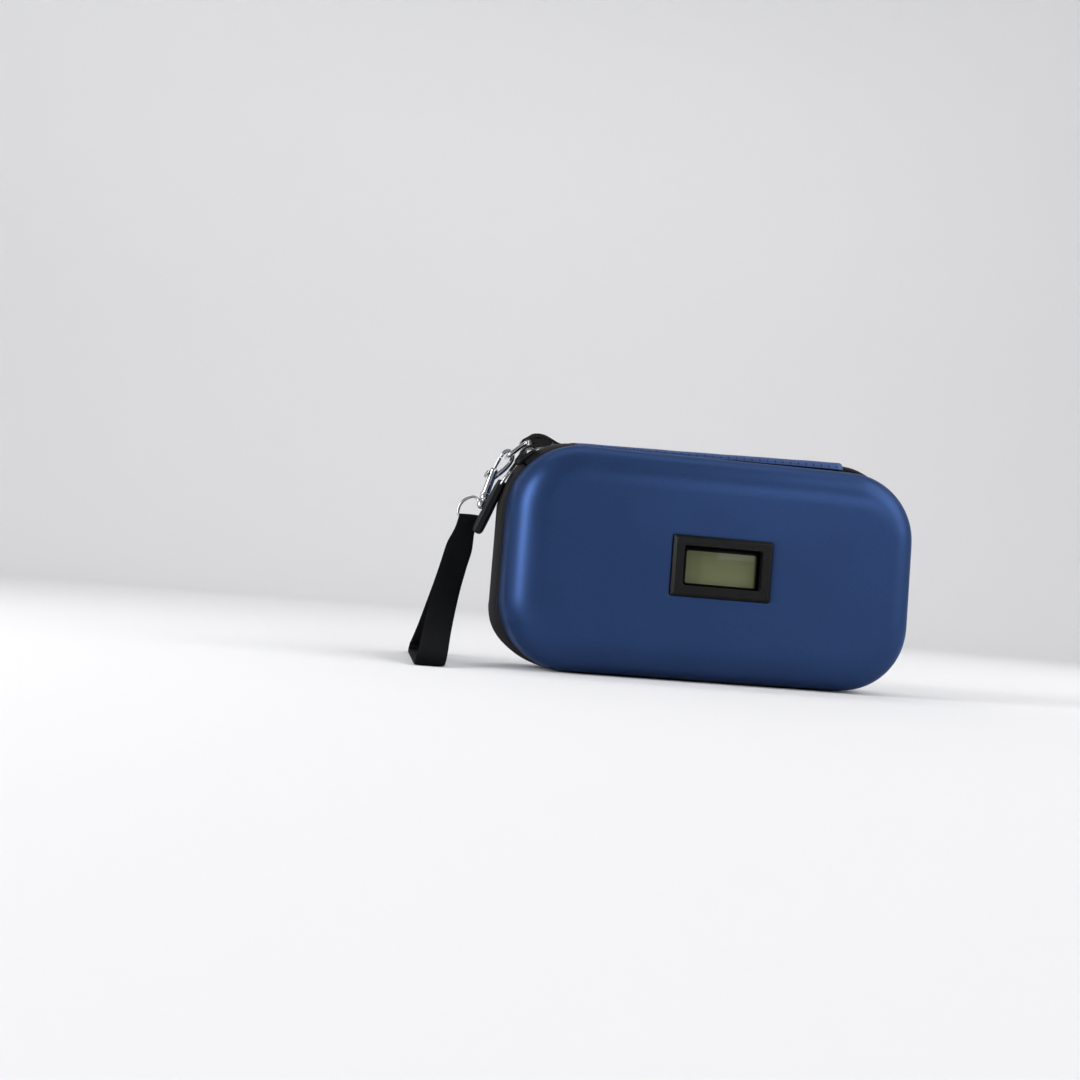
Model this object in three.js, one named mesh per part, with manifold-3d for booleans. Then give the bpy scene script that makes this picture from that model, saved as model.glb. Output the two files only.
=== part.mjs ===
// Insulin cooling case: a zipped, foam-lined clamshell that stands on its long side.
// Millimetres, +X along the case, +Y to its back, +Z up. The lid faces -Y and is hinged along the top.
import * as THREE from 'three';
import { mergeVertices } from 'three/addons/utils/BufferGeometryUtils.js';
import Module from 'manifold-3d';

const wasm = await Module();
wasm.setup();

// Driving dimensions of the case
const caseLength = 200;
const caseHeight = 108;
const cornerRadius = 31;
const zipGapHalf = 4;
const lipDepth = 5;
const draft = THREE.MathUtils.degToRad(4);
const shellWall = 2.6;
const linerWall = 3.5;
const gap = 0.3;
const lid = { depth: 30, roundInset: 18, roundDepth: 16, side: -1 };
const back = { depth: 26, roundInset: 16, roundDepth: 13, side: 1 };
const cornerSteps = 9;
const roundSteps = 6;

// Zip, hinge strip and the end of the strap set
const tapeThickness = 0.9;
const zipBulge = 2.4;
const zipFlat = -0.4;
const zipHalfGap = 0.8;
const coilWidth = 1.2;
const coilHeight = 1.4;
const hingeHalfLength = 67;
const hingeHalfWidth = 8;
const hingeRise = 3.2;
const sliderAngle = 128;
const strapSetY = 11;

// Display module
const bezel = { width: 48, height: 28.6, thickness: 1.9, chamfer: 2, edge: 0.6 };
const windowSize = { width: 38.4, height: 17, radius: 2 };
const housing = { width: 46.2, height: 26.8, depth: 14.8, wall: 1.2 };
const cellRadius = 5.8;
const cellThickness = 5.4;

const midZ = caseHeight / 2;
const lidFaceY = -(zipGapHalf + lid.depth);
const linerOffset = shellWall + gap;
const linerFrom = lipDepth + gap;
const restLipY = zipGapHalf + lipDepth / 2;

// Materials
function finish(color, roughness, metalness = 0) {
  return new THREE.MeshStandardMaterial({ color, roughness, metalness });
}
const shellBlue = finish(0x2c3f6e, 0.42);
const stripBlue = finish(0x35507f, 0.5);
const foilSilver = finish(0xb9bec4, 0.35, 0.6);
const tapeBlack = finish(0x202124, 0.85);
const coilBlack = finish(0x121316, 0.5);
const webbingBlack = finish(0x0c0e10, 0.9);
const frameBlack = finish(0x1d1e1e, 0.38);
const glassOlive = finish(0x61644e, 0.15);
const boardGreen = finish(0x1f5a3a, 0.6);
const rubberGrey = finish(0x6a6d70, 0.8);
const steel = finish(0xc4c7ca, 0.22, 1);
const gelBlue = finish(0x2a78c8, 0.2);
const netGrey = finish(0x3a3d42, 0.9);

// Mesh helpers
function solidOf(geometry) {
  const bare = geometry.clone();
  bare.deleteAttribute('normal');
  bare.deleteAttribute('uv');
  const merged = mergeVertices(bare, 1e-4);
  const vertProperties = new Float32Array(merged.attributes.position.array);
  const triVerts = new Uint32Array(merged.index.array);
  return new wasm.Manifold(new wasm.Mesh({ numProp: 3, vertProperties, triVerts }));
}

function geometryOf(solid) {
  const mesh = solid.getMesh();
  const geometry = new THREE.BufferGeometry();
  const positions = new Float32Array(mesh.vertProperties);
  geometry.setAttribute('position', new THREE.BufferAttribute(positions, 3));
  geometry.setIndex(new THREE.BufferAttribute(new Uint32Array(mesh.triVerts), 1));
  return geometry;
}

function join(first, ...others) {
  return geometryOf(others.reduce((solid, other) => solid.add(solidOf(other)), solidOf(first)));
}

function cut(first, ...others) {
  return geometryOf(others.reduce((solid, other) => solid.subtract(solidOf(other)), solidOf(first)));
}

function signedVolume(points, faces) {
  const cross = new THREE.Vector3();
  return faces.reduce((sum, [a, b, c]) => sum + points[a].dot(cross.crossVectors(points[b], points[c])), 0);
}

function closedGeometry(points, faces) {
  const outward = signedVolume(points, faces) > 0 ? faces : faces.map(([a, b, c]) => [a, c, b]);
  const geometry = new THREE.BufferGeometry().setFromPoints(points);
  geometry.setIndex(outward.flat());
  return geometry;
}

const frontOutline = (ring) => ring.map((p) => new THREE.Vector2(p.x, p.z));

// Skins a row of rings that have equal counts. An open row is capped by triangulating its end outline.
function loft(rings, { closed = false, outline = frontOutline } = {}) {
  const count = rings[0].length;
  const points = rings.flat();
  const faces = [];
  const rows = closed ? rings.length : rings.length - 1;
  for (let row = 0; row < rows; row++) {
    const here = row * count;
    const next = ((row + 1) % rings.length) * count;
    for (let i = 0; i < count; i++) {
      const j = (i + 1) % count;
      faces.push([here + i, here + j, next + j], [here + i, next + j, next + i]);
    }
  }
  if (!closed) {
    const last = (rings.length - 1) * count;
    const sense = THREE.ShapeUtils.area(outline(rings[0])) > 0 ? 1 : -1;
    for (const [a, b, c] of THREE.ShapeUtils.triangulateShape(outline(rings[0]), [])) {
      faces.push(sense > 0 ? [a, c, b] : [a, b, c]);
    }
    for (const [a, b, c] of THREE.ShapeUtils.triangulateShape(outline(rings.at(-1)), [])) {
      faces.push(sense > 0 ? [last + a, last + b, last + c] : [last + a, last + c, last + b]);
    }
  }
  return closedGeometry(points, faces);
}

function box(width, depth, height, x, y, z) {
  return new THREE.BoxGeometry(width, depth, height).translate(x, y, z);
}

function cylinderAlongY(radius, y0, y1, x, z, sides = 20) {
  return new THREE.CylinderGeometry(radius, radius, y1 - y0, sides).translate(x, (y0 + y1) / 2, z);
}

function extrudeAlongY(shape, y0, y1, curveSegments = 6) {
  const geometry = new THREE.ExtrudeGeometry(shape, { depth: y1 - y0, bevelEnabled: false, curveSegments });
  return geometry.rotateX(Math.PI / 2).translate(0, y1, 0);
}

function extrudeAlongX(shape, x0, x1, curveSegments = 6) {
  const geometry = new THREE.ExtrudeGeometry(shape, { depth: x1 - x0, bevelEnabled: false, curveSegments });
  const axes = new THREE.Matrix4().makeBasis(
    new THREE.Vector3(0, 1, 0), new THREE.Vector3(0, 0, 1), new THREE.Vector3(1, 0, 0));
  return geometry.applyMatrix4(axes).translate(x0, 0, 0);
}

function roundedRectangle(width, height, radius, x = 0, z = 0) {
  const w = width / 2 - radius;
  const h = height / 2 - radius;
  const quarter = Math.PI / 2;
  const shape = new THREE.Shape();
  shape.absarc(x + w, z + h, radius, 0, quarter);
  shape.absarc(x - w, z + h, radius, quarter, 2 * quarter);
  shape.absarc(x - w, z - h, radius, 2 * quarter, 3 * quarter);
  shape.absarc(x + w, z - h, radius, 3 * quarter, 4 * quarter);
  return shape;
}

// Round wire through points that lie in one plane
function wire(points, planeNormal, radius, closed, sides = 8) {
  const rings = points.map((point, i) => {
    const before = points[closed ? (i + points.length - 1) % points.length : Math.max(i - 1, 0)];
    const after = points[closed ? (i + 1) % points.length : Math.min(i + 1, points.length - 1)];
    const along = new THREE.Vector3().subVectors(after, before).normalize();
    const across = new THREE.Vector3().crossVectors(planeNormal, along);
    return Array.from({ length: sides }, (_, k) => {
      const angle = 2 * Math.PI * (k + 0.5) / sides;
      return point.clone()
        .addScaledVector(across, radius * Math.cos(angle))
        .addScaledVector(planeNormal, radius * Math.sin(angle));
    });
  });
  const flat = Array.from({ length: sides }, (_, k) => new THREE.Vector2(
    Math.cos(2 * Math.PI * k / sides), Math.sin(2 * Math.PI * k / sides)));
  return loft(rings, { closed, outline: () => flat });
}

// Corner points of a closed path, each rounded into a short arc
function roundedPath(corners, radius, steps = 3) {
  const path = [];
  corners.forEach((corner, i) => {
    const before = corners[(i + corners.length - 1) % corners.length];
    const after = corners[(i + 1) % corners.length];
    const towards = (other) => new THREE.Vector3().subVectors(other, corner).normalize();
    const start = corner.clone().addScaledVector(towards(before), radius);
    const end = corner.clone().addScaledVector(towards(after), radius);
    const bend = new THREE.QuadraticBezierCurve3(start, corner, end);
    path.push(...bend.getPoints(steps));
  });
  return path;
}

// Wire bent round two bars that run along Y
function wireFrame(firstBar, secondBar, halfWidth, bend, radius, sides) {
  const places = [[firstBar, -1], [firstBar, 1], [secondBar, 1], [secondBar, -1]];
  const corners = places.map(([bar, side]) => bar.clone().setY(bar.y + side * halfWidth));
  const acrossBars = new THREE.Vector3().subVectors(firstBar, secondBar);
  const normal = acrossBars.cross(new THREE.Vector3(0, 1, 0)).normalize();
  return wire(roundedPath(corners, bend), normal, radius, true, sides);
}

// Moulded trays: the shells and their liners
function caseRing(inset, y) {
  const radius = cornerRadius - inset;
  const quarter = Math.PI / 2;
  const ring = [];
  for (let corner = 0; corner < 4; corner++) {
    const sideX = corner === 0 || corner === 3 ? 1 : -1;
    const sideZ = corner < 2 ? 1 : -1;
    for (let step = 0; step <= cornerSteps; step++) {
      const angle = quarter * (corner + step / cornerSteps);
      ring.push(new THREE.Vector3(
        sideX * (caseLength / 2 - cornerRadius) + radius * Math.cos(angle),
        y,
        midZ + sideZ * (caseHeight / 2 - cornerRadius) + radius * Math.sin(angle)));
    }
  }
  return ring;
}

// Pairs of inset and depth from the rim to the edge of the flat face, at a distance inside the outer skin
function trayProfile(tray, offset, from) {
  const wallEnd = tray.depth - tray.roundDepth;
  const wallInset = offset + (wallEnd - lipDepth) * Math.tan(draft);
  const profile = [[offset, from]];
  if (from < lipDepth) {
    profile.push([offset, lipDepth]);
  }
  for (let step = 0; step <= roundSteps; step++) {
    const angle = (Math.PI / 2) * (step / roundSteps);
    profile.push([
      wallInset + (tray.roundInset - 0.8 * offset) * (1 - Math.cos(angle)),
      wallEnd + (tray.roundDepth - offset) * Math.sin(angle),
    ]);
  }
  return profile;
}

function trayGeometry(tray, outerOffset, innerOffset, from) {
  const outer = trayProfile(tray, outerOffset, from).reverse();
  const inner = trayProfile(tray, innerOffset, from);
  const rings = [...outer, ...inner].map(([inset, depth]) => (
    caseRing(inset, tray.side * (zipGapHalf + depth))));
  return loft(rings);
}

// Places along the zip, counted as an angle that runs from the top left, down and round to the top right
const cornerCentres = [[-1, 1], [-1, -1], [1, -1], [1, 1]].map(([sideX, sideZ]) => new THREE.Vector3(
  sideX * (caseLength / 2 - cornerRadius), 0, midZ + sideZ * (caseHeight / 2 - cornerRadius)));
const zipStart = 90;
const zipEnd = 450;
const zipEndX = hingeHalfLength + 2 * gap;

function zipStation(corner, degrees) {
  const angle = THREE.MathUtils.degToRad(degrees);
  const normal = new THREE.Vector3(Math.cos(angle), 0, Math.sin(angle));
  const turn = corner === 1 ? (degrees - 180) / 90 : (360 - degrees) / 90;
  const lower = corner === 1 || corner === 2;
  const flattening = lower ? THREE.MathUtils.smoothstep(turn, 0.2, 0.9) : 0;
  const bulge = THREE.MathUtils.lerp(zipBulge, zipFlat, flattening);
  const place = cornerCentres[corner].clone().addScaledVector(normal, cornerRadius);
  return { place, normal, bulge };
}

function zipStations(from, to) {
  const stations = [];
  for (let corner = 0; corner < 4; corner++) {
    const start = Math.max(from, zipStart + 90 * corner);
    const end = Math.min(to, zipStart + 90 * (corner + 1));
    const steps = Math.ceil((end - start) / 10);
    for (let step = 0; step <= steps && end > start; step++) {
      stations.push(zipStation(corner, start + (end - start) * step / steps));
    }
  }
  if (from === zipStart) {
    stations.unshift({ ...stations[0], place: new THREE.Vector3(-zipEndX, 0, caseHeight) });
  }
  if (to === zipEnd) {
    stations.push({ ...stations.at(-1), place: new THREE.Vector3(zipEndX, 0, caseHeight) });
  }
  return stations;
}

function alongZip(stations, side, section) {
  const rings = stations.map(({ place, normal, bulge }) => section(bulge).map(([out, depth]) => (
    place.clone().addScaledVector(normal, out).setY(side * depth))));
  const outline = () => section(zipBulge).map(([out, depth]) => new THREE.Vector2(out, depth));
  return loft(rings, { outline });
}

// The tape's sewn margin lies inside the lip, and its free edge stands out in a crown over the coil
function tapeSection(bulge, margin = true) {
  const rim = zipGapHalf - gap;
  const shoulder = 0.1 + 0.7 * (bulge - 0.1);
  const crown = [
    [0.1, rim],
    [shoulder, 3.2],
    [bulge, 2.3],
    [bulge, zipHalfGap],
    [bulge - tapeThickness, zipHalfGap],
    [bulge - tapeThickness, 2.2],
    [shoulder - tapeThickness, 2.7],
  ];
  const foot = [[-1.2, rim - tapeThickness], [-1.2, rim]];
  const sewn = [
    [-linerOffset - tapeThickness, rim - tapeThickness],
    [-linerOffset - tapeThickness, zipGapHalf + lipDepth - gap],
    [-linerOffset, zipGapHalf + lipDepth - gap],
    [-linerOffset, rim],
  ];
  return [...crown, ...(margin ? sewn : foot)];
}

function coilSection(bulge) {
  const top = bulge - tapeThickness - gap;
  return [
    [top, zipHalfGap],
    [top, zipHalfGap + coilWidth],
    [top - coilHeight, zipHalfGap + coilWidth],
    [top - coilHeight, zipHalfGap],
  ];
}

// Hinge strip: a padded strip whose two leaves meet at the hinge line, with rounded ends
function hingeLeaf(side) {
  const bottom = caseHeight + gap;
  const section = [
    [gap, 0], [gap, 1], [3.5, 0.94], [6.4, 0.66], [hingeHalfWidth, 0.25], [hingeHalfWidth, 0],
  ];
  const ends = [[1, 0.55, 0.5], [0.97, 0.86, 0.85], [0.91, 1, 1]];
  const places = [...ends, ...ends.toReversed().map(([along, ...rest]) => [-along, ...rest])];
  const rings = places.map(([along, width, height]) => section.map(([y, z]) => new THREE.Vector3(
    along * hingeHalfLength,
    side * (gap + (y - gap) * width),
    bottom + z * hingeRise * height)));
  return loft(rings, { outline: (ring) => ring.map((p) => new THREE.Vector2(p.y, p.z)) });
}

// Gel pack: a film pouch with a flat welded margin and a crowned filling
const gelFilm = 0.4;

function gelPouch(width, height, crown, margin) {
  const columns = 18;
  const rows = 8;
  const swell = (t) => Math.sqrt(Math.max(0, 1 - t ** 4));
  const halfThickness = (x, z) => {
    const u = Math.min(1, Math.abs(x) / (width / 2 - margin));
    const v = Math.min(1, Math.abs(z) / (height / 2 - margin));
    return gelFilm + crown * swell(u) * swell(v);
  };
  const points = [];
  for (const face of [-1, 1]) {
    for (let row = 0; row <= rows; row++) {
      for (let column = 0; column <= columns; column++) {
        const x = (column / columns - 0.5) * width;
        const z = (row / rows - 0.5) * height;
        points.push(new THREE.Vector3(x, face * halfThickness(x, z), z));
      }
    }
  }
  const stride = columns + 1;
  const sheet = stride * (rows + 1);
  const faces = [];
  const quad = (a, b, c, d) => faces.push([a, b, c], [a, c, d]);
  for (let row = 0; row < rows; row++) {
    for (let column = 0; column < columns; column++) {
      const a = row * stride + column;
      quad(a, a + 1, a + 1 + stride, a + stride);
      quad(sheet + a, sheet + a + stride, sheet + a + 1 + stride, sheet + a + 1);
    }
    const left = row * stride;
    const right = left + columns;
    quad(left, left + stride, sheet + left + stride, sheet + left);
    quad(right, sheet + right, sheet + right + stride, right + stride);
  }
  for (let column = 0; column < columns; column++) {
    const top = rows * stride + column;
    quad(column, sheet + column, sheet + column + 1, column + 1);
    quad(top, top + 1, sheet + top + 1, sheet + top);
  }
  return closedGeometry(points, faces);
}

// Net pocket in front of the gel pack, with an elastic band along its open top
const linerInside = linerOffset + linerWall;
const pocket = {
  halfWidth: caseLength / 2 - linerInside - 0.6,
  bottom: linerInside + 0.6,
  top: 72,
  y: zipGapHalf + linerFrom + gap,
  thickness: 0.8,
  bandHeight: 4,
  bandThickness: 1.4,
};

function pocketShape() {
  const radius = cornerRadius - linerInside - 0.6;
  const shape = new THREE.Shape();
  shape.moveTo(pocket.halfWidth, pocket.top);
  shape.lineTo(-pocket.halfWidth, pocket.top);
  shape.absarc(-pocket.halfWidth + radius, pocket.bottom + radius, radius, Math.PI, 1.5 * Math.PI);
  shape.absarc(pocket.halfWidth - radius, pocket.bottom + radius, radius, 1.5 * Math.PI, 2 * Math.PI);
  return shape;
}

// Elastic loop for a pen: an arch with two sewn feet on the lid's liner
const penRadius = 8.7;
const elasticThickness = 1;
const penLoopWidth = 20;
const penLoopFoot = 4;
const linerFaceY = -(zipGapHalf + lid.depth - linerInside);

function penLoop(x, z) {
  const foot = linerFaceY + gap;
  const outer = penRadius + elasticThickness;
  const shape = new THREE.Shape();
  shape.moveTo(foot, z + outer + penLoopFoot);
  shape.lineTo(foot, z + penRadius);
  shape.lineTo(foot + penRadius, z + penRadius);
  shape.absarc(foot + penRadius, z, penRadius, Math.PI / 2, -Math.PI / 2, true);
  shape.lineTo(foot, z - penRadius);
  shape.lineTo(foot, z - outer - penLoopFoot);
  shape.lineTo(foot + elasticThickness, z - outer - penLoopFoot);
  shape.lineTo(foot + elasticThickness, z - outer);
  shape.lineTo(foot + penRadius, z - outer);
  shape.absarc(foot + penRadius, z, outer, -Math.PI / 2, Math.PI / 2, false);
  shape.lineTo(foot + elasticThickness, z + outer);
  shape.lineTo(foot + elasticThickness, z + outer + penLoopFoot);
  return extrudeAlongX(shape, x - penLoopWidth / 2, x + penLoopWidth / 2);
}

// Display frame: a chamfered bezel in front of the lid, with its housing walls behind
const bezelBackY = lidFaceY - gap;
const bezelFrontY = bezelBackY - bezel.thickness;
const housingBackY = bezelBackY + housing.depth;
const coverFrontY = housingBackY - 1.5;

function displayFrame() {
  const corners = [[1, 1], [-1, 1], [-1, -1], [1, -1]];
  const rectangle = (inset, y) => corners.map(([sideX, sideZ]) => new THREE.Vector3(
    sideX * (bezel.width / 2 - inset), y, midZ + sideZ * (bezel.height / 2 - inset)));
  const plate = loft([
    rectangle(bezel.chamfer, bezelFrontY),
    rectangle(0, bezelBackY - bezel.edge),
    rectangle(0, bezelBackY),
  ]);
  const walls = box(
    housing.width, housing.depth + 1, housing.height,
    0, bezelBackY + (housing.depth - 1) / 2, midZ);
  const inside = box(
    housing.width - 2 * housing.wall, housing.depth + 1, housing.height - 2 * housing.wall,
    0, bezelBackY + (housing.depth + 1) / 2, midZ);
  const view = extrudeAlongY(
    roundedRectangle(windowSize.width, windowSize.height, windowSize.radius, 0, midZ),
    bezelFrontY - 1, bezelBackY + 1, 4);
  return cut(join(plate, walls), inside, view);
}

const boardSize = { width: 42.8, height: 23.4, thickness: 1.2 };
const glassBackY = bezelBackY + gap + 2.2;
const stripBackY = glassBackY + gap + 3;
const boardBackY = stripBackY + gap + boardSize.thickness;
const cellBackY = boardBackY + gap + cellThickness;
const doorSize = { width: 26, height: 13, thickness: 1.2 };
const doorX = -4;

function rearCover() {
  const plateY = coverFrontY + doorSize.thickness / 2;
  const plate = box(boardSize.width, doorSize.thickness, boardSize.height, 0, plateY, midZ);
  const hole = box(doorSize.width + 2 * gap, 4, doorSize.height + 2 * gap, doorX, coverFrontY, midZ);
  return cut(plate, hole);
}

function sideClip(side) {
  const inner = housing.width / 2 + gap;
  const front = lidFaceY + shellWall + gap;
  const shape = new THREE.Shape();
  shape.moveTo(side * inner, 0);
  shape.lineTo(side * (inner + 2.4), 0);
  shape.lineTo(side * (inner + 2.4), 1.4);
  shape.lineTo(side * (inner + 0.9), 9);
  shape.lineTo(side * inner, 9);
  const height = 10;
  const geometry = new THREE.ExtrudeGeometry(shape, { depth: height, bevelEnabled: false });
  return geometry.translate(0, front, midZ - height / 2);
}

// Zip slider on the corner: two plates joined by a web between the coils, and a bridge for the pull
const sliderPull = new THREE.Vector2(-2.2, cornerRadius + zipBulge + 3.4);

function sliderGeometry() {
  const tapeTop = cornerRadius + zipBulge;
  const plateBottom = tapeTop + gap;
  const plate = box(9, 7.6, 1.2, 0.3, 0, plateBottom + 0.6);
  const web = box(3, 1, 5.2, 1.4, 0, plateBottom - 2);
  const keel = box(8, 4.2, 1, 0.3, 0, tapeTop - 4.2);
  const arch = new THREE.Shape();
  arch.moveTo(-4, plateBottom + 1);
  arch.lineTo(4, plateBottom + 1);
  arch.lineTo(3.4, plateBottom + 2.6);
  arch.lineTo(1.2, plateBottom + 4.6);
  arch.lineTo(-2.4, plateBottom + 4.6);
  arch.lineTo(-4, plateBottom + 3.4);
  const eye = new THREE.Path();
  eye.absarc(sliderPull.x, sliderPull.y, 1, 0, 2 * Math.PI, true);
  arch.holes.push(eye);
  return join(plate, web, keel, extrudeAlongY(arch, -1.2, 1.2));
}

// Turns a group so that its own +Z points along a direction in the XZ plane
function leanGroup(place, upward) {
  const group = new THREE.Group();
  group.position.copy(place);
  group.rotation.y = Math.atan2(upward.x, upward.z);
  return group;
}

function along(degrees) {
  const angle = THREE.MathUtils.degToRad(degrees);
  return new THREE.Vector3(Math.cos(angle), 0, Math.sin(angle));
}

const sliderGroup = leanGroup(cornerCentres[0], along(sliderAngle));
sliderGroup.updateMatrix();
const pullPivot = new THREE.Vector3(sliderPull.x, 0, sliderPull.y).applyMatrix4(sliderGroup.matrix);

// Pull: a wire bail through the bridge, and a moulded grip hanging from it
const gripTop = new THREE.Vector3(-103.9, 0, 86.8);
const gripUp = new THREE.Vector3(0.322, 0, 0.947);
const bailHalfWidth = 2.4;
const bailRadius = 0.6;
const bailBend = 1;
const bailSides = 6;

function pullGrip() {
  const lug = roundedRectangle(3.6, 6, 1.2, 0, -1);
  const eye = new THREE.Path();
  eye.absarc(0, 0, bailRadius + gap, 0, 2 * Math.PI, true);
  lug.holes.push(eye);
  const girths = [[-2.4, 1.5], [-5, 2.3], [-18, 2.6], [-24, 2.5], [-26.4, 1.7]];
  const body = loft(girths.map(([z, girth]) => Array.from({ length: 8 }, (_, k) => {
    const angle = Math.PI * (k + 0.5) / 4;
    return new THREE.Vector3(girth * Math.cos(angle), girth * Math.sin(angle), z);
  })), { outline: (ring) => ring.map((p) => new THREE.Vector2(p.x, p.y)) });
  return join(extrudeAlongY(lug, -1.3, 1.3), body);
}

// Strap set: the tab's fold, the ring's far bar and the hook that hangs from it
const tabFold = new THREE.Vector3(-91.3, strapSetY, 109.6);
const ringFar = new THREE.Vector3(-99.6, strapSetY, 102.2);
const ringRadius = 1;
const ringHalfWidth = 6;
const ringBend = 1.2;
const ringSides = 8;
const hookUp = along(66.5);

function ringTab() {
  const plies = 2.6;
  const root = -68.5;
  const seam = -76;
  const fold = 2.7;
  const shape = new THREE.Shape();
  shape.moveTo(root, caseHeight + gap);
  shape.lineTo(root, caseHeight + gap + plies);
  shape.lineTo(seam, caseHeight + gap + plies);
  shape.absarc(tabFold.x, tabFold.z, fold, Math.PI / 2, 1.5 * Math.PI);
  shape.lineTo(seam, caseHeight + gap);
  const eye = new THREE.Path();
  eye.absarc(tabFold.x, tabFold.z, ringRadius + gap, 0, 2 * Math.PI, true);
  shape.holes.push(eye);
  return extrudeAlongY(shape, strapSetY - 4.4, strapSetY + 4.4);
}

// Hook, in its own axes: the ring's bar is at the origin and the barrel hangs down -Z
const clawRadius = 1.3;
const clawBend = 3.4;
const clawMidZ = ringRadius + gap + clawRadius - clawBend;
const barrelTop = -14.5;
const barrelBottom = -24;
const barrelRadius = 3.2;
const gatePivot = new THREE.Vector3(-1.4, 0, -16.4);
const stemRadius = 1.2;
const stemHead = 1.7;
const headSeat = -22.4;
const gatePinRadius = 0.6;

function barrelProfile() {
  return [
    [0, barrelBottom], [barrelRadius - 0.5, barrelBottom], [barrelRadius, barrelBottom + 0.8],
    [barrelRadius, barrelTop - 1.2], [barrelRadius - 1, barrelTop], [0, barrelTop],
  ];
}

function lathe(profile, segments = 20) {
  const points = profile.map(([radius, z]) => new THREE.Vector2(radius, z));
  return new THREE.LatheGeometry(points, segments).rotateX(Math.PI / 2);
}

function hookBody() {
  const path = [[-clawBend, -3.2], [-clawBend, -2]].map(([x, z]) => new THREE.Vector3(x, 0, z));
  for (let step = 0; step <= 8; step++) {
    const angle = Math.PI * (1 - step / 8);
    path.push(new THREE.Vector3(clawBend * Math.cos(angle), 0, clawMidZ + clawBend * Math.sin(angle)));
  }
  const limb = [[3.3, -5], [2.9, -9], [2, -12.5], [1.4, -15.5]];
  path.push(...limb.map(([x, z]) => new THREE.Vector3(x, 0, z)));
  const claw = wire(path, new THREE.Vector3(0, 1, 0), clawRadius, false);
  const slot = box(5.4, 2.6, 5, -2, 0, barrelTop - 1.9);
  const springBore = box(2.4, 2.4, 3, -0.6, 0, barrelTop - 3.6);
  const pinBore = cylinderAlongY(gatePinRadius + gap, -4, 4, gatePivot.x, gatePivot.z, 10);
  const neckRadius = stemRadius + gap;
  const below = barrelBottom - 1;
  const neck = lathe([[0, below], [neckRadius, below], [neckRadius, headSeat], [0, headSeat]]);
  const chamberRadius = stemHead + gap;
  const floor = headSeat - 0.2;
  const roof = headSeat + 2;
  const chamber = lathe([[0, floor], [chamberRadius, floor], [chamberRadius, roof], [0, roof]]);
  return cut(join(claw, lathe(barrelProfile())), slot, springBore, pinBore, neck, chamber);
}

function hookGate() {
  const half = 1;
  const shape = new THREE.Shape();
  shape.moveTo(-clawBend + 1.1, -3.5);
  shape.lineTo(-clawBend - 1.1, -3.5);
  shape.lineTo(-3.9, -13.6);
  shape.lineTo(-6.2, -15.4);
  shape.lineTo(-6.2, -17.4);
  shape.absarc(gatePivot.x, gatePivot.z, 1.6, -Math.PI / 2, 0.4);
  shape.lineTo(-1.6, -13.4);
  const eye = new THREE.Path();
  eye.absarc(gatePivot.x, gatePivot.z, gatePinRadius + gap, 0, 2 * Math.PI, true);
  shape.holes.push(eye);
  const knob = new THREE.SphereGeometry(1.6, 10, 8).translate(-6.8, 0, -16.4);
  return join(extrudeAlongY(shape, -half, half), knob);
}

// Swivel: a headed stem in the barrel, a ball, and the wire eye that carries the strap
const eyeWire = 0.7;
const eyeBar = { left: -122.4, right: -110, z: 70 };
const swivelTop = -20.8;

function swivelStem() {
  return lathe([
    [0, swivelTop], [stemHead, swivelTop], [stemHead, -22], [stemRadius, -22],
    [stemRadius, barrelBottom - gap], [2.5, barrelBottom - gap], [2.5, -26], [1.6, -26.4],
    [2.2, -27.2], [2.4, -28.4], [2, -29.6], [0, -30.2],
  ].toReversed());
}

function swivelEye(apex) {
  const corners = [
    [apex.x - 1, apex.z + 0.8], [eyeBar.left, eyeBar.z + 5], [eyeBar.left, eyeBar.z],
    [eyeBar.right, eyeBar.z], [eyeBar.right, eyeBar.z + 3.4], [apex.x + 1, apex.z],
  ].map(([x, z]) => new THREE.Vector3(x, strapSetY, z));
  return wire(roundedPath(corners, 0.9), new THREE.Vector3(0, 1, 0), eyeWire, true);
}

// Wrist strap: a webbing loop folded over the eye's bar, sewn to itself below it, opening out to the floor
const strap = { width: 13, foldWidth: 9.6, thickness: 1.2, slope: 0.228, footX: -132.2, sewnEnd: 47 };

function strapRoute() {
  const top = eyeBar.z;
  const plySpace = strap.thickness / 2 + gap / 2;
  const foldRadius = eyeWire + gap + strap.thickness / 2;
  const floor = strap.thickness / 2;
  const fold = [180, 135, 90, 45, 0].map((degrees) => {
    const angle = THREE.MathUtils.degToRad(degrees);
    return [foldRadius * Math.cos(angle), top + foldRadius * Math.sin(angle)];
  });
  const frontPly = [
    [-plySpace, top - 6], [-plySpace, 58], [-plySpace, strap.sewnEnd], [-4.5, 37], [-15, 27],
    [-31, 16.5], [-46, 9.5], [-54.5, 5.6], [-56.5, 3], [-54.5, 1],
  ];
  const floorRun = [[-50, floor], [-30, floor], [-10, floor], [10, floor], [30, floor], [46, floor]];
  const backPly = [
    [51.5, 1.2], [54, 3.4], [51.5, 6], [42, 9.6], [28, 16.5], [14.5, 27],
    [4.5, 37], [plySpace, strap.sewnEnd], [plySpace, 58], [plySpace, top - 6],
  ];
  return [...fold.toReversed(), ...frontPly, ...floorRun, ...backPly];
}

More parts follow.
